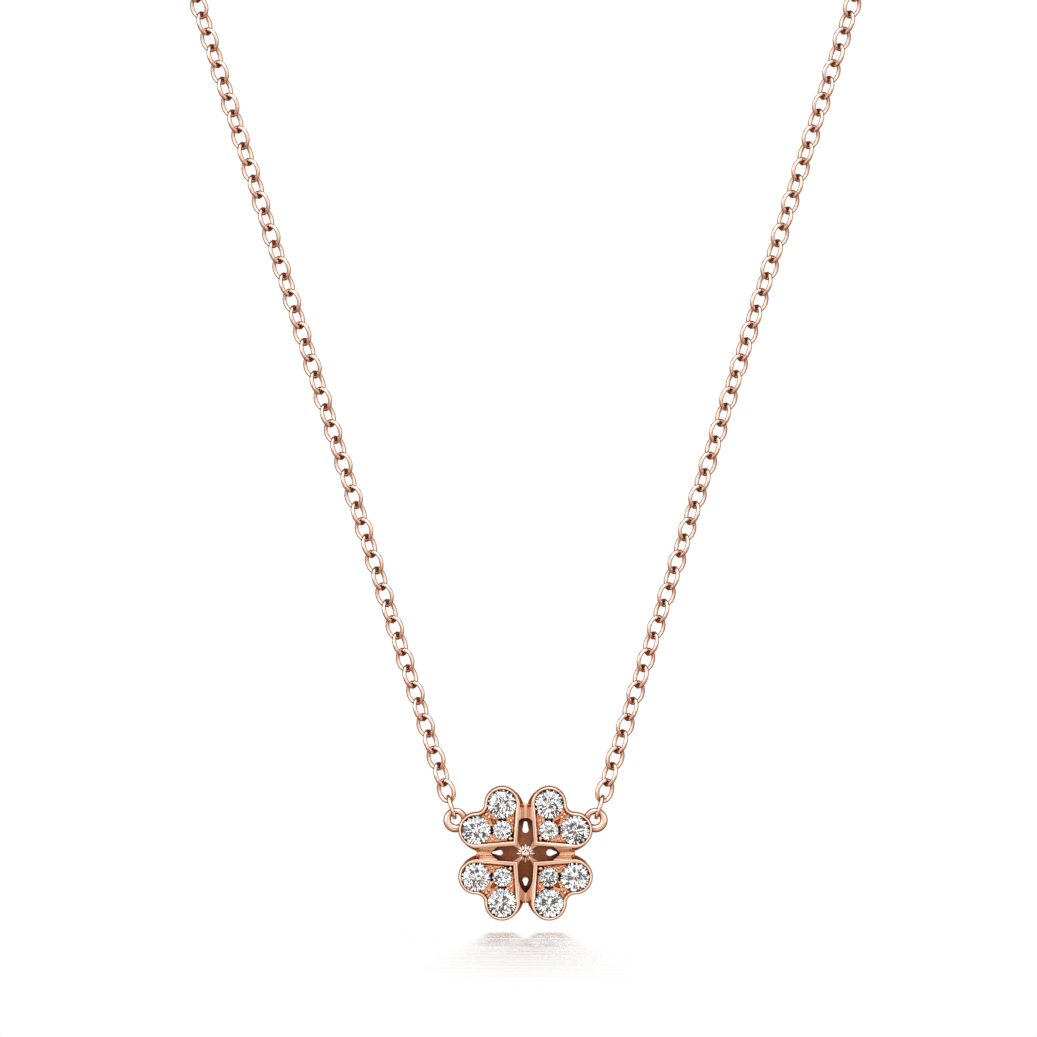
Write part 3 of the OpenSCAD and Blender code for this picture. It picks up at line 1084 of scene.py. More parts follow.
class Hollow(Enum):
    """The three shapes of hollow, each with its half width by distance from the middle."""

    BLUNT = (
        *((0.3, 0.0), (0.38, 0.2), (0.5, 0.36), (0.65, 0.46), (0.85, 0.53), (1.3, 0.54)),
        *((1.65, 0.52), (1.95, 0.49), (2.18, 0.43), (2.3, 0.32), (2.35, 0.15), (2.36, 0.0)),
    )
    TAPERED = (
        *((0.3, 0.0), (0.38, 0.2), (0.5, 0.36), (0.65, 0.47), (0.85, 0.53), (1.2, 0.545)),
        *((1.66, 0.494), (1.95, 0.43), (2.21, 0.35), (2.43, 0.21), (2.6, 0.07), (2.65, 0.0)),
    )
    LEAF = (
        *((0.3, 0.0), (0.36, 0.16), (0.45, 0.28), (0.6, 0.4), (0.8, 0.5), (1.05, 0.555)),
        *((1.33, 0.563), (1.6, 0.525), (1.82, 0.455), (2.0, 0.35), (2.17, 0.19), (2.315, 0.0)),
    )


@dataclass(frozen=True)
class Arm:
    """One arm of the cross: its hollow's shape, and the drop hole's two ends, width and tip radius."""

    hollow: Hollow
    drop_from: float
    drop_to: float
    drop_w: float
    drop_tip_r: float


@dataclass(frozen=True)
class Cross:
    """The cross between the hearts, with a pointed hollow in each arm and a rayed boss in the middle."""

    plan: CloverPlan
    height: float = 1.15
    limbs: tuple[Arm, ...] = (
        Arm(Hollow.BLUNT, 1.31, 2.1, 0.41, 0.12),
        Arm(Hollow.LEAF, 1.52, 2.24, 0.37, 0.06),
        Arm(Hollow.TAPERED, 1.64, 2.21, 0.385, 0.09),
        Arm(Hollow.LEAF, 1.39, 2.1, 0.46, 0.06),
    )
    arm_short: float = 0.02
    # The sides of the cube that the arms are drawn out of are nearer to the origin than this.
    cube_reach: float = 1.2
    hollow_end: float = 2.5
    hollow_from: float = 0.3
    floor_inner: float = 0.85
    floor_outer: float = 0.3
    bar_from: float = 1.9
    bar_end: float = 3.3
    bar_half: float = 0.5
    bar_tip: Span = (0.17, 0.05)
    # Lengthwise cuts that give the bar its profile, and its rise by distance from the arm's middle.
    bar_cuts: tuple[float, ...] = (-0.38, -0.24, -0.13, -0.05, 0.05, 0.13, 0.24, 0.38)
    bar_rise: tuple[Span, ...] = ((0.06, 0.24), (0.14, 0.19), (0.25, 0.11), (0.39, 0.1), (9.0, 0.17))
    bar_plate: float = 0.02
    end_run: float = 0.12
    end_fall: float = 0.05
    fillet_base: float = 0.2
    fillet_low: float = 0.9
    fillet_rise: float = 0.82
    fillet_r: float = 1.43
    fillet_top_r: float = 1.15
    fillet_inner_r: float = 1.08
    fillet_span: Span = (196, 132)
    fillet_edge: tuple[Span, ...] = (
        *((0.7, 4.12), (0.55, 4.0), (0.415, 3.83), (0.29, 3.62)),
        *((0.2, 3.44), (0.17, 3.34), (0.13, 3.2)),
    )
    ray_r: float = 0.66
    ray_top: float = 1.48
    ray_fall: float = 0.2
    ray_curve: float = 1.6
    ray_root: float = 0.35
    ray_taper: float = 0.8
    # Half the width of a ray by distance from the middle, and the lengths that take turns.
    ray_widths: tuple[Span, ...] = ((0.05, 0.02), (0.3, 0.056), (0.5, 0.06))
    ray_sizes: tuple[float, ...] = (0.95, 0.84, 1.15, 0.84)
    cone: tuple[float, float, float] = (0.46, 0.24, 0.5)
    cone_down: float = 0.1
    dome_r: float = 0.3
    dome_h: float = 0.19
    dome_down: float = 0.02
    knob_r: float = 0.17
    knob_at: Span = (0.15, 0.03)
    # Place across, place along, radius and top of the two painted dark dots: a painted reflection and a
    # painted shadow.
    painted_dots: tuple[tuple[float, float, float, float], ...] = (
        (0.0, 0.16, 0.05, 1.688),
        (-0.05, -0.18, 0.09, 1.645),
    )
    dot_depth: float = 0.3
    rays: int = 16

    @staticmethod
    def hollow_outline(hollow: Hollow) -> list[Vector]:
        """Outline of a hollow in the arm along +Y, anticlockwise.

        Args:
            hollow: The hollow's shape.

        Returns:
            The outline's points.
        """
        right = [Vector((half, along)) for along, half in hollow.value]
        left = [Vector((-half, along)) for along, half in hollow.value[1:-1]]
        return [*right, *reversed(left)]

    def hollow_cutter(self, hollow: Hollow) -> bpy.types.Object:
        """Makes the shape that a hollow is cut with, over a floor that falls away from the middle.

        Args:
            hollow: The hollow's shape.

        Returns:
            The shape to cut with, in the arm along +Y.
        """
        top = self.plan.heart_h + 1
        cutter = prism("hollow_cutter", self.hollow_outline(hollow), self.floor_inner, top)
        fall = (self.floor_inner - self.floor_outer) / (self.hollow_end - self.hollow_from)
        for vertex in cutter.data.vertices:
            if vertex.co.z < self.plan.heart_h:
                vertex.co.z -= fall * (vertex.co.y - self.hollow_from)
        return cutter

    def drop_cutter(self, arm: Arm) -> bpy.types.Object:
        """Makes the shape of the drop-shaped hole in a hollow's floor, round towards the middle.

        Args:
            arm: The arm that it is in.

        Returns:
            The shape to cut with, in the arm along +Y.
        """
        radius = arm.drop_w / 2
        wide_end = Vector((0, arm.drop_from + radius))
        tip = Vector((0, arm.drop_to - arm.drop_tip_r))
        lean = math.degrees(math.acos((radius - arm.drop_tip_r) / (tip - wide_end).length))
        outline = [
            *arc(tip, arm.drop_tip_r, 90 - lean, 90 + lean, 20),
            *arc(wide_end, radius, 90 + lean, 450 - lean, 12),
        ]
        return prism("drop_cutter", outline, -0.5, self.plan.heart_h)

    def arms(self, gold: bpy.types.Material, dull_and_shaded: bpy.types.Material) -> bpy.types.Object:
        """Models the four arms from one cube, whose sides are drawn out, and cuts their hollows.

        Args:
            gold: The finish of what the wheel reaches.
            dull_and_shaded: The finish of the hollows, rough and in painted shade.

        Returns:
            The arms.
        """
        half = self.plan.point_at + self.plan.rim_w / 2
        length = self.bar_end - self.arm_short
        bpy.ops.mesh.primitive_cube_add(size=2 * half, location=(0, 0, self.height / 2))
        bpy.ops.transform.resize(value=(1, 1, self.height / (2 * half)))
        arms = settled("cross_arms")
        for way in (Vector((1, 0, 0)), Vector((-1, 0, 0)), Vector((0, 1, 0)), Vector((0, -1, 0))):
            pick_faces(
                arms,
                lambda face: face.normal.dot(way) > STRAIGHT
                and face.calc_center_median().length < self.cube_reach,
            )
            bpy.ops.mesh.extrude_region_move(TRANSFORM_OT_translate={"value": way * (length - half)})
            done(arms)
        for i, arm in enumerate(self.limbs):
            for tool in (self.hollow_cutter(arm.hollow), self.drop_cutter(arm)):
                tool.data.transform(rotation(90 * i))
                cut(arms, tool)
        arms.data.materials.append(gold)
        arms.data.materials.append(dull_and_shaded)
        # The faces inside the hollows take the finish whose dark brown is painted shade.
        for face in arms.data.polygons:
            inside = 0.02 < face.center.z < self.height - 0.02
            outer = max(abs(face.center.x), abs(face.center.y)) > self.hollow_end + 0.2
            if inside and not outer:
                face.material_index = 1
        return arms

    def bar(self, arm: Arm) -> bpy.types.Object:
        """Models the bar outside a hollow: a low ridge between the hearts, cut by the hollow's end.

        Args:
            arm: The arm that it is on.

        Returns:
            The bar on the arm along +Y.
        """
        end, half = self.bar_end, self.bar_half
        tip, back = self.bar_tip
        right = [Vector((half, self.bar_from)), Vector((half, end - back)), Vector((tip, end))]
        left = [Vector((-point.x, point.y)) for point in reversed(right)]
        bar = prism("bar", [*right, *left], self.height - self.bar_plate, self.height)
        cuts = [(Vector((side, 0, 0)), Vector((1, 0, 0))) for side in self.bar_cuts]
        cuts += [(Vector((0, end - run, 0)), Vector((0, 1, 0))) for run in (self.end_run, back)]
        for spot, across in cuts:
            edit_all(bar)
            bpy.ops.mesh.bisect(plane_co=spot, plane_no=across)
            done(bar)
        for vertex in bar.data.vertices:
            if vertex.co.z > self.height - self.bar_plate / 2:
                rise = next(rise for limit, rise in self.bar_rise if abs(vertex.co.x) < limit)
                share = max(0.0, (vertex.co.y - (end - self.end_run)) / self.end_run)
                vertex.co.z += rise - share**2 * self.end_fall
        return cut(bar, self.hollow_cutter(arm.hollow))

    def fillet(self) -> bpy.types.Object:
        """Models the fillet between the bar's end and the lobe to the right of it.

        Its edge follows the notch between the hearts, and its side leans back under the lobe's rim.

        Returns:
            The fillet on the arm along +Y.
        """
        middle = self.plan.lobe_a

        def pull_in(point: Vector, most: float) -> Vector:
            """Moves a point towards the lobe's middle if it is further away than it may be."""
            gap = point - middle
            return middle + gap.normalized() * min(gap.length, most)

        edge = [pull_in(Vector(point), self.fillet_r) for point in self.fillet_edge]
        inner = arc(middle, self.fillet_inner_r, *self.fillet_span, 8)
        fillet = prism("fillet", [*edge, *inner], self.fillet_base, self.fillet_low)
        pick_faces(fillet, faces_up)
        bpy.ops.mesh.extrude_region_move(TRANSFORM_OT_translate={"value": (0, 0, self.fillet_rise)})
        done(fillet)
        for vertex in fillet.data.vertices:
            if vertex.co.z > self.fillet_low + 0.1:
                vertex.co.xy = pull_in(vertex.co.xy, self.fillet_top_r)
        return fillet

    def ridges(self) -> bpy.types.Object:
        """Models the bars and fillets at the ends of all four arms.

        Returns:
            The ridges, as one mesh.
        """
        parts = []
        for i, arm in enumerate(self.limbs):
            right = self.fillet()
            end = join("ridge", [self.bar(arm), right, mirrored(right)])
            end.data.transform(rotation(90 * i))
            parts.append(end)
        return join("cross_ridges", parts)

    def ray(self) -> bpy.types.Object:
        """Models one ray of the boss along +X: a thin blade that narrows upwards and falls outwards.

        Returns:
            The ray.
        """
        lower = [Vector((along, -half)) for along, half in self.ray_widths]
        upper = [Vector((along, half)) for along, half in reversed(self.ray_widths)]
        outline = [*lower, Vector((self.ray_r, 0)), *upper]
        blade = prism("ray", outline, self.height - self.ray_root, self.ray_top)
        for vertex in blade.data.vertices:
            if vertex.co.z > self.height:
                vertex.co.y *= self.ray_taper
                vertex.co.z -= self.ray_fall * (vertex.co.x / self.ray_r) ** self.ray_curve
        return blade

    @staticmethod
    def ball(
        name: str, radius: float, height: float, at: Vector, faces: tuple[int, int]
    ) -> bpy.types.Object:
        """Models a ball, or a flatter round dome if its height is less than its radius.

        Args:
            name: Its name.
            radius: Its radius.
            height: How far it rises from its middle.
            at: Its middle.
            faces: How many faces it has round it, and from pole to pole.

        Returns:
            The ball.
        """
        sides, rings = faces
        bpy.ops.mesh.primitive_uv_sphere_add(segments=sides, ring_count=rings, radius=radius, location=at)
        bpy.ops.transform.resize(value=(1, 1, height / radius))
        return settled(name)

    def boss(self, brushed: bpy.types.Material, dark: bpy.types.Material) -> bpy.types.Object:
        """Models the boss: rays of two lengths round a low dome with a bead on it.

        Args:
            brushed: Its finish.
            dark: The finish of the two dark dots: a painted reflection and a painted shadow.

        Returns:
            The boss.
        """
        blade = self.ray()
        parts = []
        for i in range(self.rays):
            longer = Matrix.Diagonal((self.ray_sizes[i % len(self.ray_sizes)], 1, 1, 1))
            parts.append(copy_of(blade, rotation(360 * i / self.rays) @ longer))
        bpy.data.objects.remove(blade)
        wide, narrow, tall = self.cone
        cone_at = (0, 0, self.height - self.cone_down)
        bpy.ops.mesh.primitive_cone_add(
            vertices=32, radius1=wide, radius2=narrow, depth=tall, location=cone_at
        )
        parts.append(settled("boss_cone"))
        dome_at = Vector((0, 0, self.ray_top - self.dome_down))
        dome = self.ball("dome", self.dome_r, self.dome_h, dome_at, (32, 16))
        knob_at = Vector((0, self.knob_at[0], self.ray_top + self.knob_at[1]))
        knob = self.ball("knob", self.knob_r, self.knob_r, knob_at, (24, 14))
        apply_modifier(dome, "BOOLEAN", {"operation": "UNION", "object": knob, "solver": "EXACT"})
        bpy.data.objects.remove(knob)
        boss = join("rayed_boss", [*parts, dome])
        boss.data.materials.append(brushed)
        plugs = [boss]
        # Two dark discs sunk into the boss: a painted reflection on the bead and a painted shadow below it.
        for x, y, radius, top in self.painted_dots:
            bpy.ops.mesh.primitive_cylinder_add(
                vertices=12, radius=radius, depth=self.dot_depth, location=(x, y, top - self.dot_depth / 2)
            )
            plug = settled("plug")
            plug.data.materials.append(dark)
            plugs.append(plug)
        return join("rayed_boss", plugs)

    def build(
        self,
        gold: bpy.types.Material,
        dull_and_shaded: bpy.types.Material,
        satin_and_shaded: bpy.types.Material,
        brushed: bpy.types.Material,
        dark: bpy.types.Material,
    ) -> list[bpy.types.Object]:
        """Builds the cross and its boss.

        Args:
            gold: The finish of what the wheel reaches.
            dull_and_shaded: The finish of the hollows, rough and in painted shade.
            satin_and_shaded: The finish of the bars, satin and in painted shade.
            brushed: The finish of the boss.
            dark: The finish of the dots in the boss, a painted reflection and a painted shadow.

        Returns:
            The three pieces.
        """
        place = self.plan.hanging
        return [
            finish_piece(self.arms(gold, dull_and_shaded), place, gold, Body.PENDANT),
            finish_piece(self.ridges(), place, satin_and_shaded, Body.PENDANT),
            finish_piece(self.boss(brushed, dark), place, brushed, Body.PENDANT),
        ]


@dataclass(frozen=True)
class Stones:
    """The twelve brilliants. Each is set with a turn and a slight lean of its own, as by hand."""

    plan: CloverPlan
    most_lean: float = 1.4
    least_lean: float = 0.4
    lean_turn: float = 2.4
    lean_wave: float = 5.1
    hand_cut: float = 0.012
    crown_share: float = 0.3
    first_seed: int = 40

    def vary_cut(self, stone: bpy.types.Object, number: int) -> None:
        """Shifts the corners of the pavilion a little, as in small stones that are cut by hand.

        Args:
            stone: The stone, in metres, with its doubles merged.
            number: Which stone it is, for a cut of its own.
        """
        chance = random.Random(self.first_seed + number)
        points = [vertex.co for vertex in stone.data.vertices]
        top, deepest = min(point.y for point in points), max(point.y for point in points)
        wide = max(point.x for point in points) - min(point.x for point in points)
        for vertex in stone.data.vertices:
            if vertex.co.y > top + self.crown_share * (deepest - top):
                vertex.co += Vector([chance.uniform(-1, 1) for _ in range(3)]) * self.hand_cut * wide

    def build(
        self, nodes: dict[str, bpy.types.Object], diamond: bpy.types.Material
    ) -> list[bpy.types.Object]:
        """Copies each packed brilliant, turns it in its seat and dresses it.

        Args:
            nodes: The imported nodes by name.
            diamond: The finish.

        Returns:
            The twelve pieces.
        """
        pieces = []
        for i, name in enumerate(sorted(n for n in nodes if n.startswith("stone_"))):
            stone = copy_of(nodes[name], Matrix.Identity(4))
            stone.name = name.replace("stone_", "brilliant_")
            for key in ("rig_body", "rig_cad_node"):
                del stone[key]
            stone.parent = None
            edit_all(stone)
            bpy.ops.mesh.remove_doubles(threshold=1e-6)
            done(stone)
            self.vary_cut(stone, i)
            low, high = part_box(name)
            middle = Vector(((low.x + high.x) / 2, high.y, (low.z + high.z) / 2))
            lean_way = Vector((math.cos(self.lean_turn * i), 0, math.sin(self.lean_turn * i)))
            share = self.least_lean + (1 - self.least_lean) * math.sin(self.lean_wave * i)
            lean = rotation(self.most_lean * share, lean_way)
            to_middle = Matrix.Translation(middle)
            turn = rotation(GOLDEN_TURN * (i + 1), "Y")
            stone.data.transform(to_middle @ lean @ turn @ to_middle.inverted())
            stone.data.materials.clear()
            stone.data.materials.append(diamond)
            bpy.ops.object.shade_flat()
            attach(stone, Body.PENDANT.value)
            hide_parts(name)
            LOG.info("%s: %d facets", stone.name, len(stone.data.polygons))
            pieces.append(stone)
        return pieces


@dataclass(frozen=True)
class Lugs:
    """The two ring lugs that the chain's first links pass through."""

    plan: CloverPlan
    hole_r: float = 0.34
    hole_up: float = 0.05
    hole_aside: float = 0.03

    def lug(self) -> bpy.types.Object:
        """Models the right lug, its hole a little above its middle, so that its bar is heavier below.

        Returns:
            The lug.
        """
        bpy.ops.mesh.primitive_torus_add(
            major_segments=40,
            minor_segments=16,
            major_radius=self.hole_r + LUG_BAR_D / 2,
            minor_radius=LUG_BAR_D / 2,
            location=(LUG_X, LUG_UP, self.plan.lug_depth),
        )
        lug = settled("lug")
        outer = self.hole_r + LUG_BAR_D
        for vertex in lug.data.vertices:
            share = (outer - (vertex.co.xy - Vector((LUG_X, LUG_UP))).length) / LUG_BAR_D
            vertex.co.x -= share * self.hole_aside
            vertex.co.y += share * self.hole_up
        return lug

    def build(self, gold: bpy.types.Material) -> bpy.types.Object:
        """Builds both lugs as one piece.

        Args:
            gold: Their finish.

        Returns:
            The piece.
        """
        right = self.lug()
        lugs = join("chain_lugs", [right, mirrored(right)])
        return finish_piece(lugs, self.plan.hanging, gold, Body.PENDANT)


# The chain


@dataclass(frozen=True)
class RouteEnd:
    """What one side of the chain ends on: the middle of the bar, its radius and the way it opens."""

    bar_at: Vector
    bar_r: float
    opening: Vector


# Side by side at the nape: the clasp's eye and the end ring.
NAPE_ENDS = {
    Side.LEFT: RouteEnd(Vector((4.145, 0, 0)), 0.25, Vector((0, 0, 1))),
    Side.RIGHT: RouteEnd(Vector((3.88, 0, 0)), 0.25, Vector((0, 1, 0))),
}


@dataclass
class ChainRoute:
    """The way of one side of the chain from its lug to its end at the nape, as if on the right."""

    end: RouteEnd
    lug_ring_r: float = 0.595
    neck_w: float = 92.0
    lean: float = 17.5
    straight_run: float = 98.0
    steps: int = 16
    past_nape: float = 10.0
    straight_shares: tuple[float, ...] = (0.0, 0.4, 0.8, 1.0)
    # Shares of half the neck's width, of its depth and of the height that is left, along the bend.
    bend_table: tuple[tuple[float, float, float], ...] = (
        (0.865, 0.965, 0.37),
        (0.955, 0.86, 0.61),
        (1.0, 0.69, 0.745),
        (0.98, 0.49, 0.83),
        (0.87, 0.27, 0.895),
        (0.62, 0.1, 0.945),
        (0.31, 0.022, 0.985),
    )
    points: list[Vector] = field(default_factory=list)
    lengths: list[float] = field(default_factory=list)
    ways: list[Vector] = field(default_factory=list)
    squares: list[Vector] = field(default_factory=list)

    def __post_init__(self) -> None:
        """Works the curve out once: its points, lengths, ways and untwisted side directions."""
        chosen = self.chosen_points()
        before = 2 * chosen[0] - chosen[1]
        after = Vector((chosen[-1].x - self.past_nape, 0, chosen[-1].z))
        chain = [before, *chosen, after]
        for i in range(1, len(chosen)):
            for k in range(self.steps):
                self.points.append(self.between(chain[i - 1 : i + 3], k / self.steps))
        self.points.append(chosen[-1])
        self.lengths.append(0.0)
        for start, end in zip(self.points, self.points[1:]):
            self.lengths.append(self.lengths[-1] + (end - start).length)
        last = len(self.points) - 1
        side = Vector((0, -1, 0))
        for i in range(last + 1):
            way = (self.points[min(i + 1, last)] - self.points[max(i - 1, 0)]).normalized()
            if i:
                side = (side - side.dot(way) * way).normalized()
            self.ways.append(way)
            self.squares.append(side)

    def chosen_points(self) -> list[Vector]:
        """The few points that the route is drawn through.

        Returns:
            The straight strand's points, the bend round the neck and the bar at the nape.
        """
        lean = math.radians(self.lean)
        way = Vector((math.sin(lean), 0, math.cos(lean)))
        start = Vector((LUG_X, -NECK_D, LUG_UP - DROP)) + way * self.lug_ring_r
        top = start + way * self.straight_run
        straight = [start + way * self.straight_run * share for share in self.straight_shares]
        half = self.neck_w / 2
        bend = [Vector((x * half, -y * NECK_D, top.z * (1 - up))) for x, y, up in self.bend_table]
        return [*straight, *bend, self.end.bar_at]

    @staticmethod
    def between(near: list[Vector], t: float) -> Vector:
        """Point of a smooth curve between the middle two of four points.

        Args:
            near: The four points.
            t: Share of the way from the second to the third.

        Returns:
            The point.
        """
        p, q, r, s = near
        square = (2 * p - 5 * q + 4 * r - s) * t * t
        cube = (3 * q - p - 3 * r + s) * t * t * t
        return 0.5 * (2 * q + (r - p) * t + square + cube)

    def place(self, length: float) -> Matrix:
        """Frame on the route: X along the chain and Z its side direction.

        Args:
            length: Distance from the lug's bar, along the route.

        Returns:
            The frame's placement, in millimetres.
        """
        i = max(k for k in range(len(self.lengths) - 1) if self.lengths[k] <= length)
        t = (length - self.lengths[i]) / (self.lengths[i + 1] - self.lengths[i])
        way = self.ways[i].lerp(self.ways[i + 1], t).normalized()
        side = self.squares[i].lerp(self.squares[i + 1], t)
        side = (side - side.dot(way) * way).normalized()
        across = side.cross(way)
        spot = self.points[i].lerp(self.points[i + 1], t)
        frame = Matrix((way, across, side)).transposed().to_4x4()
        frame.translation = spot
        return frame


@dataclass(frozen=True)
class CableChain:
    """Fine cable chain: oval links of round wire, each turned square to the one before."""

    wire_d: float = 0.285
    link_w: float = 1.46
    pitch: float = 1.14
    link_gap: float = 0.015
    front_links: int = 100
    roll: float = 36.0
    first_roll: float = 0.0
    around: int = 16
    wire_sides: int = 6
    near_links: int = 5
    near_detail: int = 2
    sharp: float = 80.0

    @property
    def link_len(self) -> float:
        """Outer length of a link."""
        return self.pitch + 2 * self.wire_d + self.link_gap

    def hold(self, bar_r: float) -> float:
        """From a link's middle to the middle of a bar that it hangs on."""
        return self.link_len / 2 - self.wire_d - bar_r - self.link_gap

    def link(self, detail: int) -> bpy.types.Object:
        """Models one link along X with its opening facing Z: a ring drawn out to an oval of round wire.

        Args:
            detail: How many times as many faces it has each way.

        Returns:
            The link.
        """
        short = (self.link_w - self.wire_d) / 2
        long = (self.link_len - self.wire_d) / 2
        bpy.ops.mesh.primitive_torus_add(
            major_segments=self.around * detail,
            minor_segments=self.wire_sides * detail,
            major_radius=short,
            minor_radius=self.wire_d / 2,
        )
        link = added("link")
        for vertex in link.data.vertices:
            round_way = vertex.co.xy.normalized()
            out = vertex.co.xy.length - short
            oval_way = Vector((round_way.x * short, round_way.y * long)).normalized()
            vertex.co.xy = Vector((round_way.x * long, round_way.y * short)) + oval_way * out
        return link

    def rolls(self, route: ChainRoute, spots: list[float]) -> list[float]:
        """Turn of each link about the chain, in degrees.

        Square to the one before, apart from the first, which follows the lug, and over the hidden
        stretch eased on to the bar that the last link holds.

        Args:
            route: The chain's route.
            spots: Each link's distance along it.

        Returns:
            The turns.
        """
        square = [90 * (i + 1) + (self.roll if i else self.first_roll) for i in range(len(spots))]
        last = route.place(spots[-1])
        opening = last.to_3x3().transposed() @ route.end.opening
        wanted = math.degrees(math.atan2(-opening.y, opening.z))
        rest = (wanted - square[-1] + 90) % 180 - 90
        hidden = len(spots) - 1 - self.front_links
        return [turn + rest * smooth((i - self.front_links) / hidden) for i, turn in enumerate(square)]

    def build(self, route: ChainRoute, side: Side, gold: bpy.types.Material) -> list[bpy.types.Object]:
        """Builds one side of the chain, as a front and a back piece.

        Args:
            route: The side's route, as if on the right.
            side: The side it goes on.
            gold: Its finish.

        Returns:
            The two pieces.
        """
        first = self.hold(LUG_BAR_D / 2)
        last = route.lengths[-1] - self.hold(route.end.bar_r)
        count = 1 + round((last - first) / self.pitch)
        spots = [first + (last - first) * i / (count - 1) for i in range(count)]
        fine, plain = self.link(self.near_detail), self.link(1)
        mirror = Matrix.Scale(side.value, 4, (1, 0, 0))
        twins = []
        for i, (spot, turn) in enumerate(zip(spots, self.rolls(route, spots))):
            placement = route.place(spot) @ rotation(turn, "X")
            # A link is its own mirror image, so mirroring it twice only moves it to its side.
            twins.append(copy_of(fine if i < self.near_links else plain, mirror @ placement @ mirror))
        bpy.data.objects.remove(fine)
        bpy.data.objects.remove(plain)
        pieces = []
        for part, group in (("front", twins[: self.front_links]), ("back", twins[self.front_links :])):
            name = side.name.lower()
            piece = join(f"links_{part}_{name}", group)
            finish_piece(piece, Matrix.Identity(4), gold, Body.NECKLACE, self.sharp)
            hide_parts(f"chain_{part}_{name}")
            pieces.append(piece)
        return pieces


# The studio


@dataclass(frozen=True)
class Softbox:
    """A soft patch of light, or a dark flag with a strength below 0, far away in one direction."""

    direction: tuple[float, float, float]
    half_angle: float
    edge: float
    strength: float


@dataclass(frozen=True)
class Lamp:
    """A square soft lamp: where it stands and its side, in metres, and its power in watts."""

    name: str
    at: tuple[float, float, float]
    size: float
    power: float


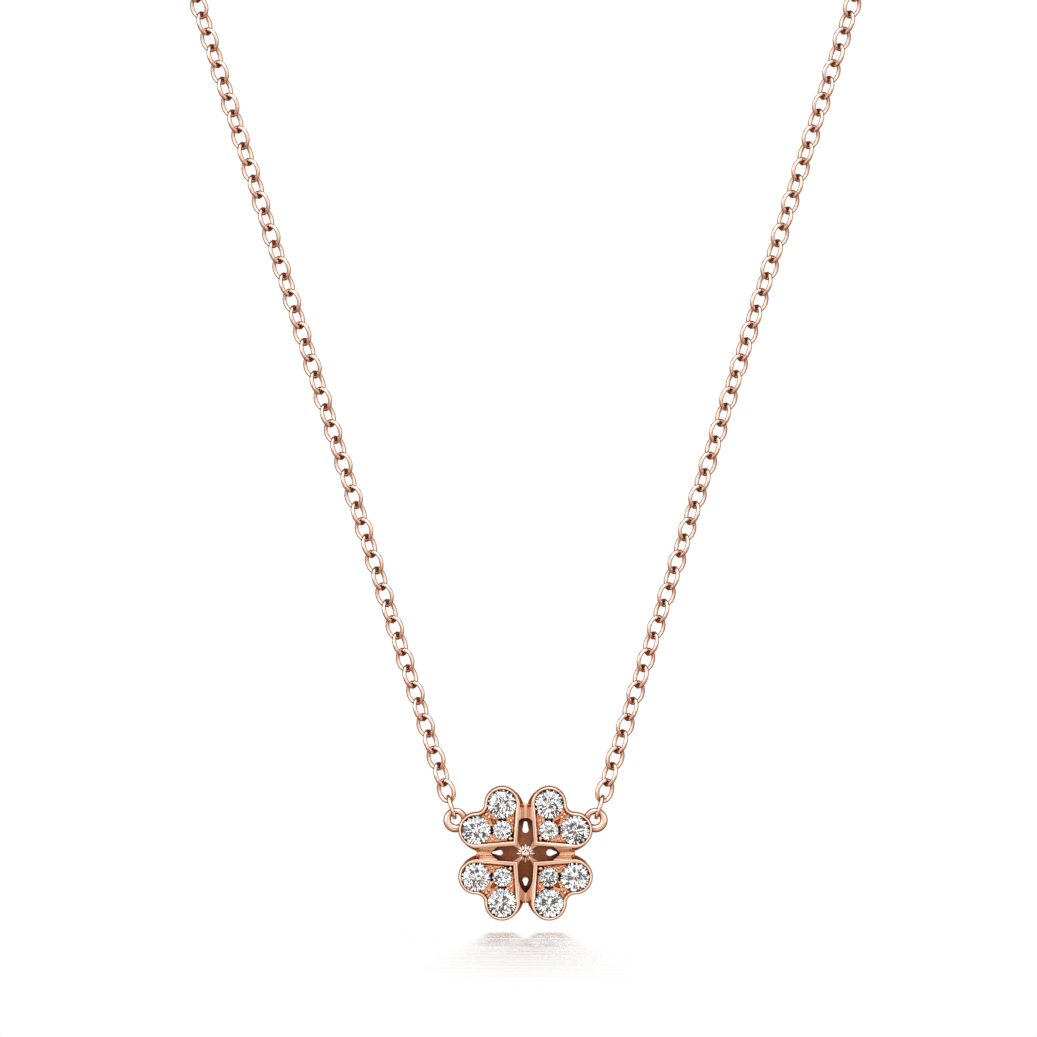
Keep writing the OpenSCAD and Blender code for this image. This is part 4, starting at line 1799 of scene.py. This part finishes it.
@dataclass(frozen=True)
class Studio:
    """Plain white surroundings: a lit sheet below, soft light from large boxes, and the camera."""

    floor_y: float = -40.0
    floor_z: float = -137.78
    floor_size: float = 1000.0
    camera_x: float = -0.467
    camera_z: float = -110.7
    camera_y: float = -580.0
    frame_w: float = 69.13
    sensor: float = 36.0
    strand_y: float = -80.0
    clip: Span = (0.01, 10.0)
    ambient: float = 0.75
    boxes: tuple[Softbox, ...] = (
        Softbox((0.0, 1.0, 0.0), 80.0, 22.0, -0.65),
        Softbox((0.0, 1.0, 0.0), 34.0, 22.0, 0.3),
        Softbox((0.0, 1.0, 0.0), 7.0, 3.0, 0.6),
        Softbox((-0.62, 0.72, 0.3), 15.0, 10.0, 0.4),
        Softbox((0.62, 0.72, 0.3), 15.0, 10.0, 0.4),
        Softbox((0.0, -1.0, -0.02), 30.0, 14.0, 0.7),
        Softbox((0.0, -1.0, -0.05), 9.0, 7.0, -0.65),
        Softbox((0.0, -0.45, 1.0), 30.0, 14.0, 0.9),
        Softbox((-0.95, -0.5, 0.25), 22.0, 10.0, 0.7),
        Softbox((0.95, -0.5, 0.25), 22.0, 10.0, 0.55),
        Softbox((-0.6, -0.8, -0.35), 8.0, 5.0, -0.35),
        Softbox((0.6, -0.8, -0.35), 8.0, 5.0, -0.35),
        Softbox((0.0, -0.6, -1.0), 38.0, 18.0, -0.25),
    )
    tint_powers: tuple[float, float, float] = (0.8, 1.2, 1.5)
    sparkle_cells: float = 4.0
    sparkle_dark: float = 0.5
    sparkle_strength: float = 1.75
    least: float = 0.03
    # The two lamps that give the edges of the metal their brightest light.
    lamps: tuple[Lamp, ...] = (
        Lamp("top_lamp", (0.1, -0.28, 0.45), 0.35, 0.6),
        Lamp("left_lamp", (-0.5, -0.45, 0.1), 0.25, 0.25),
    )
    lamp_aim: tuple[float, float, float] = (0.0, -0.08, -0.125)

    def box_light(self, tree: bpy.types.NodeTree, way: bpy.types.NodeSocket) -> bpy.types.NodeSocket:
        """Adds up the ambient light and every softbox for one direction.

        Args:
            tree: The world's node tree.
            way: The direction.

        Returns:
            The level of light.
        """
        total = self.ambient
        for box in self.boxes:
            ahead = {"operation": "DOT_PRODUCT", 0: way, 1: Vector(box.direction).normalized()}
            facing = add_node(tree, "VectorMath", ahead).outputs["Value"]
            patch = {"interpolation_type": "SMOOTHSTEP", "Value": facing, "To Max": box.strength}
            patch |= {"From Min": math.cos(math.radians(box.half_angle + box.edge))}
            patch |= {"From Max": math.cos(math.radians(box.half_angle))}
            light = add_node(tree, "MapRange", patch).outputs[0]
            total = add_node(tree, "Math", {"operation": "ADD", 0: total, 1: light}).outputs[0]
        return add_node(tree, "Math", {"operation": "MAXIMUM", 0: total, 1: self.least}).outputs[0]

    def metal_light(self, tree: bpy.types.NodeTree, level: bpy.types.NodeSocket) -> bpy.types.Node:
        """Light that the metal mirrors: white where it is bright, warm where it is dim.

        Args:
            tree: The world's node tree.
            level: The level of light.

        Returns:
            The background node.
        """
        parts = {}
        for i, power in enumerate(self.tint_powers):
            parts[i] = add_node(tree, "Math", {"operation": "POWER", 0: level, 1: power}).outputs[0]
        colour = add_node(tree, "CombineColor", parts).outputs[0]
        return add_node(tree, "Background", {"Color": colour})

    def stone_light(self, tree: bpy.types.NodeTree, way: bpy.types.NodeSocket) -> bpy.types.Node:
        """Light that the stones send back: white with many small dark things in it, as in a real room.

        Args:
            tree: The world's node tree.
            way: The direction.

        Returns:
            The background node.
        """
        cells = add_node(tree, "TexVoronoi", {"Scale": self.sparkle_cells, "Vector": way})
        part = add_node(tree, "SeparateColor", {0: cells.outputs["Color"]}).outputs[0]
        ramp = add_node(tree, "ValToRGB", {0: part})
        ramp.color_ramp.interpolation = "CONSTANT"
        dark, light = ramp.color_ramp.elements
        dark.color = (0.0, 0.0, 0.0, 1.0)
        light.position = self.sparkle_dark
        light.color = WHITE
        return add_node(tree, "Background", {"Strength": self.sparkle_strength, "Color": ramp.outputs[0]})

    def surroundings(self) -> None:
        """Makes the light all round: plain white to look at, and soft boxes for what it lights."""
        world = bpy.data.worlds.new("white_studio")
        bpy.context.scene.world = world
        world.use_nodes = True
        tree = world.node_tree
        tree.nodes.clear()
        way = add_node(tree, "TexCoord", {}).outputs["Generated"]
        ray = add_node(tree, "LightPath", {})
        plain = add_node(tree, "Background", {"Color": WHITE, "Strength": 1.0})
        total = self.metal_light(tree, self.box_light(tree, way))
        choices = (
            ("Is Transmission Ray", self.stone_light(tree, way)),
            ("Is Diffuse Ray", plain),
            ("Is Camera Ray", plain),
        )
        for kind, light in choices:
            shares = {0: ray.outputs[kind], 1: total.outputs[0], 2: light.outputs[0]}
            total = add_node(tree, "MixShader", shares)
        add_node(tree, "OutputWorld", {"Surface": total.outputs[0]})

    def floor(self) -> None:
        """Lays the lit sheet, half a metre to each side."""
        place = (0, self.floor_y * METRES_PER_MM, self.floor_z * METRES_PER_MM)
        bpy.ops.mesh.primitive_grid_add(
            x_subdivisions=4, y_subdivisions=4, size=self.floor_size * METRES_PER_MM, location=place
        )
        floor = settled("floor")
        floor.data.materials.append(LitAcrylic().make())
        # What the metal and the stones send back from below is the studio's light, with no floor.
        floor.visible_glossy = False
        floor.visible_transmission = False

    def hang(self, lamp: Lamp) -> None:
        """Adds a lamp that looks at the clover.

        Args:
            lamp: The lamp to add.
        """
        data = bpy.data.lights.new(lamp.name, "AREA")
        data.size = lamp.size
        data.energy = lamp.power
        holder = bpy.data.objects.new(lamp.name, data)
        holder.location = lamp.at
        aim = Vector(self.lamp_aim) - Vector(lamp.at)
        holder.rotation_euler = aim.to_track_quat("-Z", "Y").to_euler()
        bpy.context.scene.collection.objects.link(holder)

    def camera(self) -> None:
        """Puts the camera level with the middle of the picture, looking straight at the clover."""
        data = bpy.data.cameras.new("camera")
        away = self.strand_y - self.camera_y
        data.sensor_width = self.sensor
        data.lens = self.sensor * away / self.frame_w
        data.clip_start, data.clip_end = self.clip
        camera = bpy.data.objects.new("camera", data)
        camera.location = Vector((self.camera_x, self.camera_y, self.camera_z)) * METRES_PER_MM
        camera.rotation_euler = (math.radians(90), 0, 0)
        bpy.context.scene.collection.objects.link(camera)
        bpy.context.scene.camera = camera

    def build(self) -> None:
        """Sets the studio up."""
        self.surroundings()
        self.floor()
        for lamp in self.lamps:
            self.hang(lamp)
        self.camera()
        bpy.context.scene.view_settings.view_transform = "Standard"
        bpy.context.scene.view_settings.look = "None"


def dress_node(obj: bpy.types.Object, material: bpy.types.Material) -> None:
    """Gives a carried-over node its finish in every one of its material slots.

    Args:
        obj: The node.
        material: Its finish.
    """
    for holder in obj.material_slots:
        holder.material = material
    if not obj.material_slots:
        obj.data.materials.append(material)
    LOG.info("%s: kept as it is, dressed in %s", obj.name, material.name)


def main() -> None:
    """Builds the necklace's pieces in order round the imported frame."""
    logging.basicConfig(level=logging.INFO, format="%(name)s: %(message)s")
    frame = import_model()
    bpy.ops.object.select_all(action="DESELECT")

    polished = POLISHED.make()
    tumbled = TUMBLED.make()
    dull_and_shaded = AS_CAST_SHADED.make()
    plate_cut_and_shaded = GRAVER_CUT_AND_SHADE.make()
    diamond = Diamond().make()

    plan = CloverPlan()
    hearts = Hearts(plan).build(polished, plate_cut_and_shaded)
    Cross(plan).build(polished, dull_and_shaded, BRUSHED_AND_SHADED.make(), BRUSHED_OUT.make(), PAINTED_DARK_DOTS.make())
    Lugs(plan).build(tumbled)
    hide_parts("clover")
    Stones(plan).build(frame["nodes"], diamond)

    for side, end in NAPE_ENDS.items():
        CableChain().build(ChainRoute(end), side, tumbled)

    for name in ("clasp", "end_ring"):
        dress_node(frame["nodes"][name], polished)

    Studio().build()


if __name__ == "__main__":
    main()
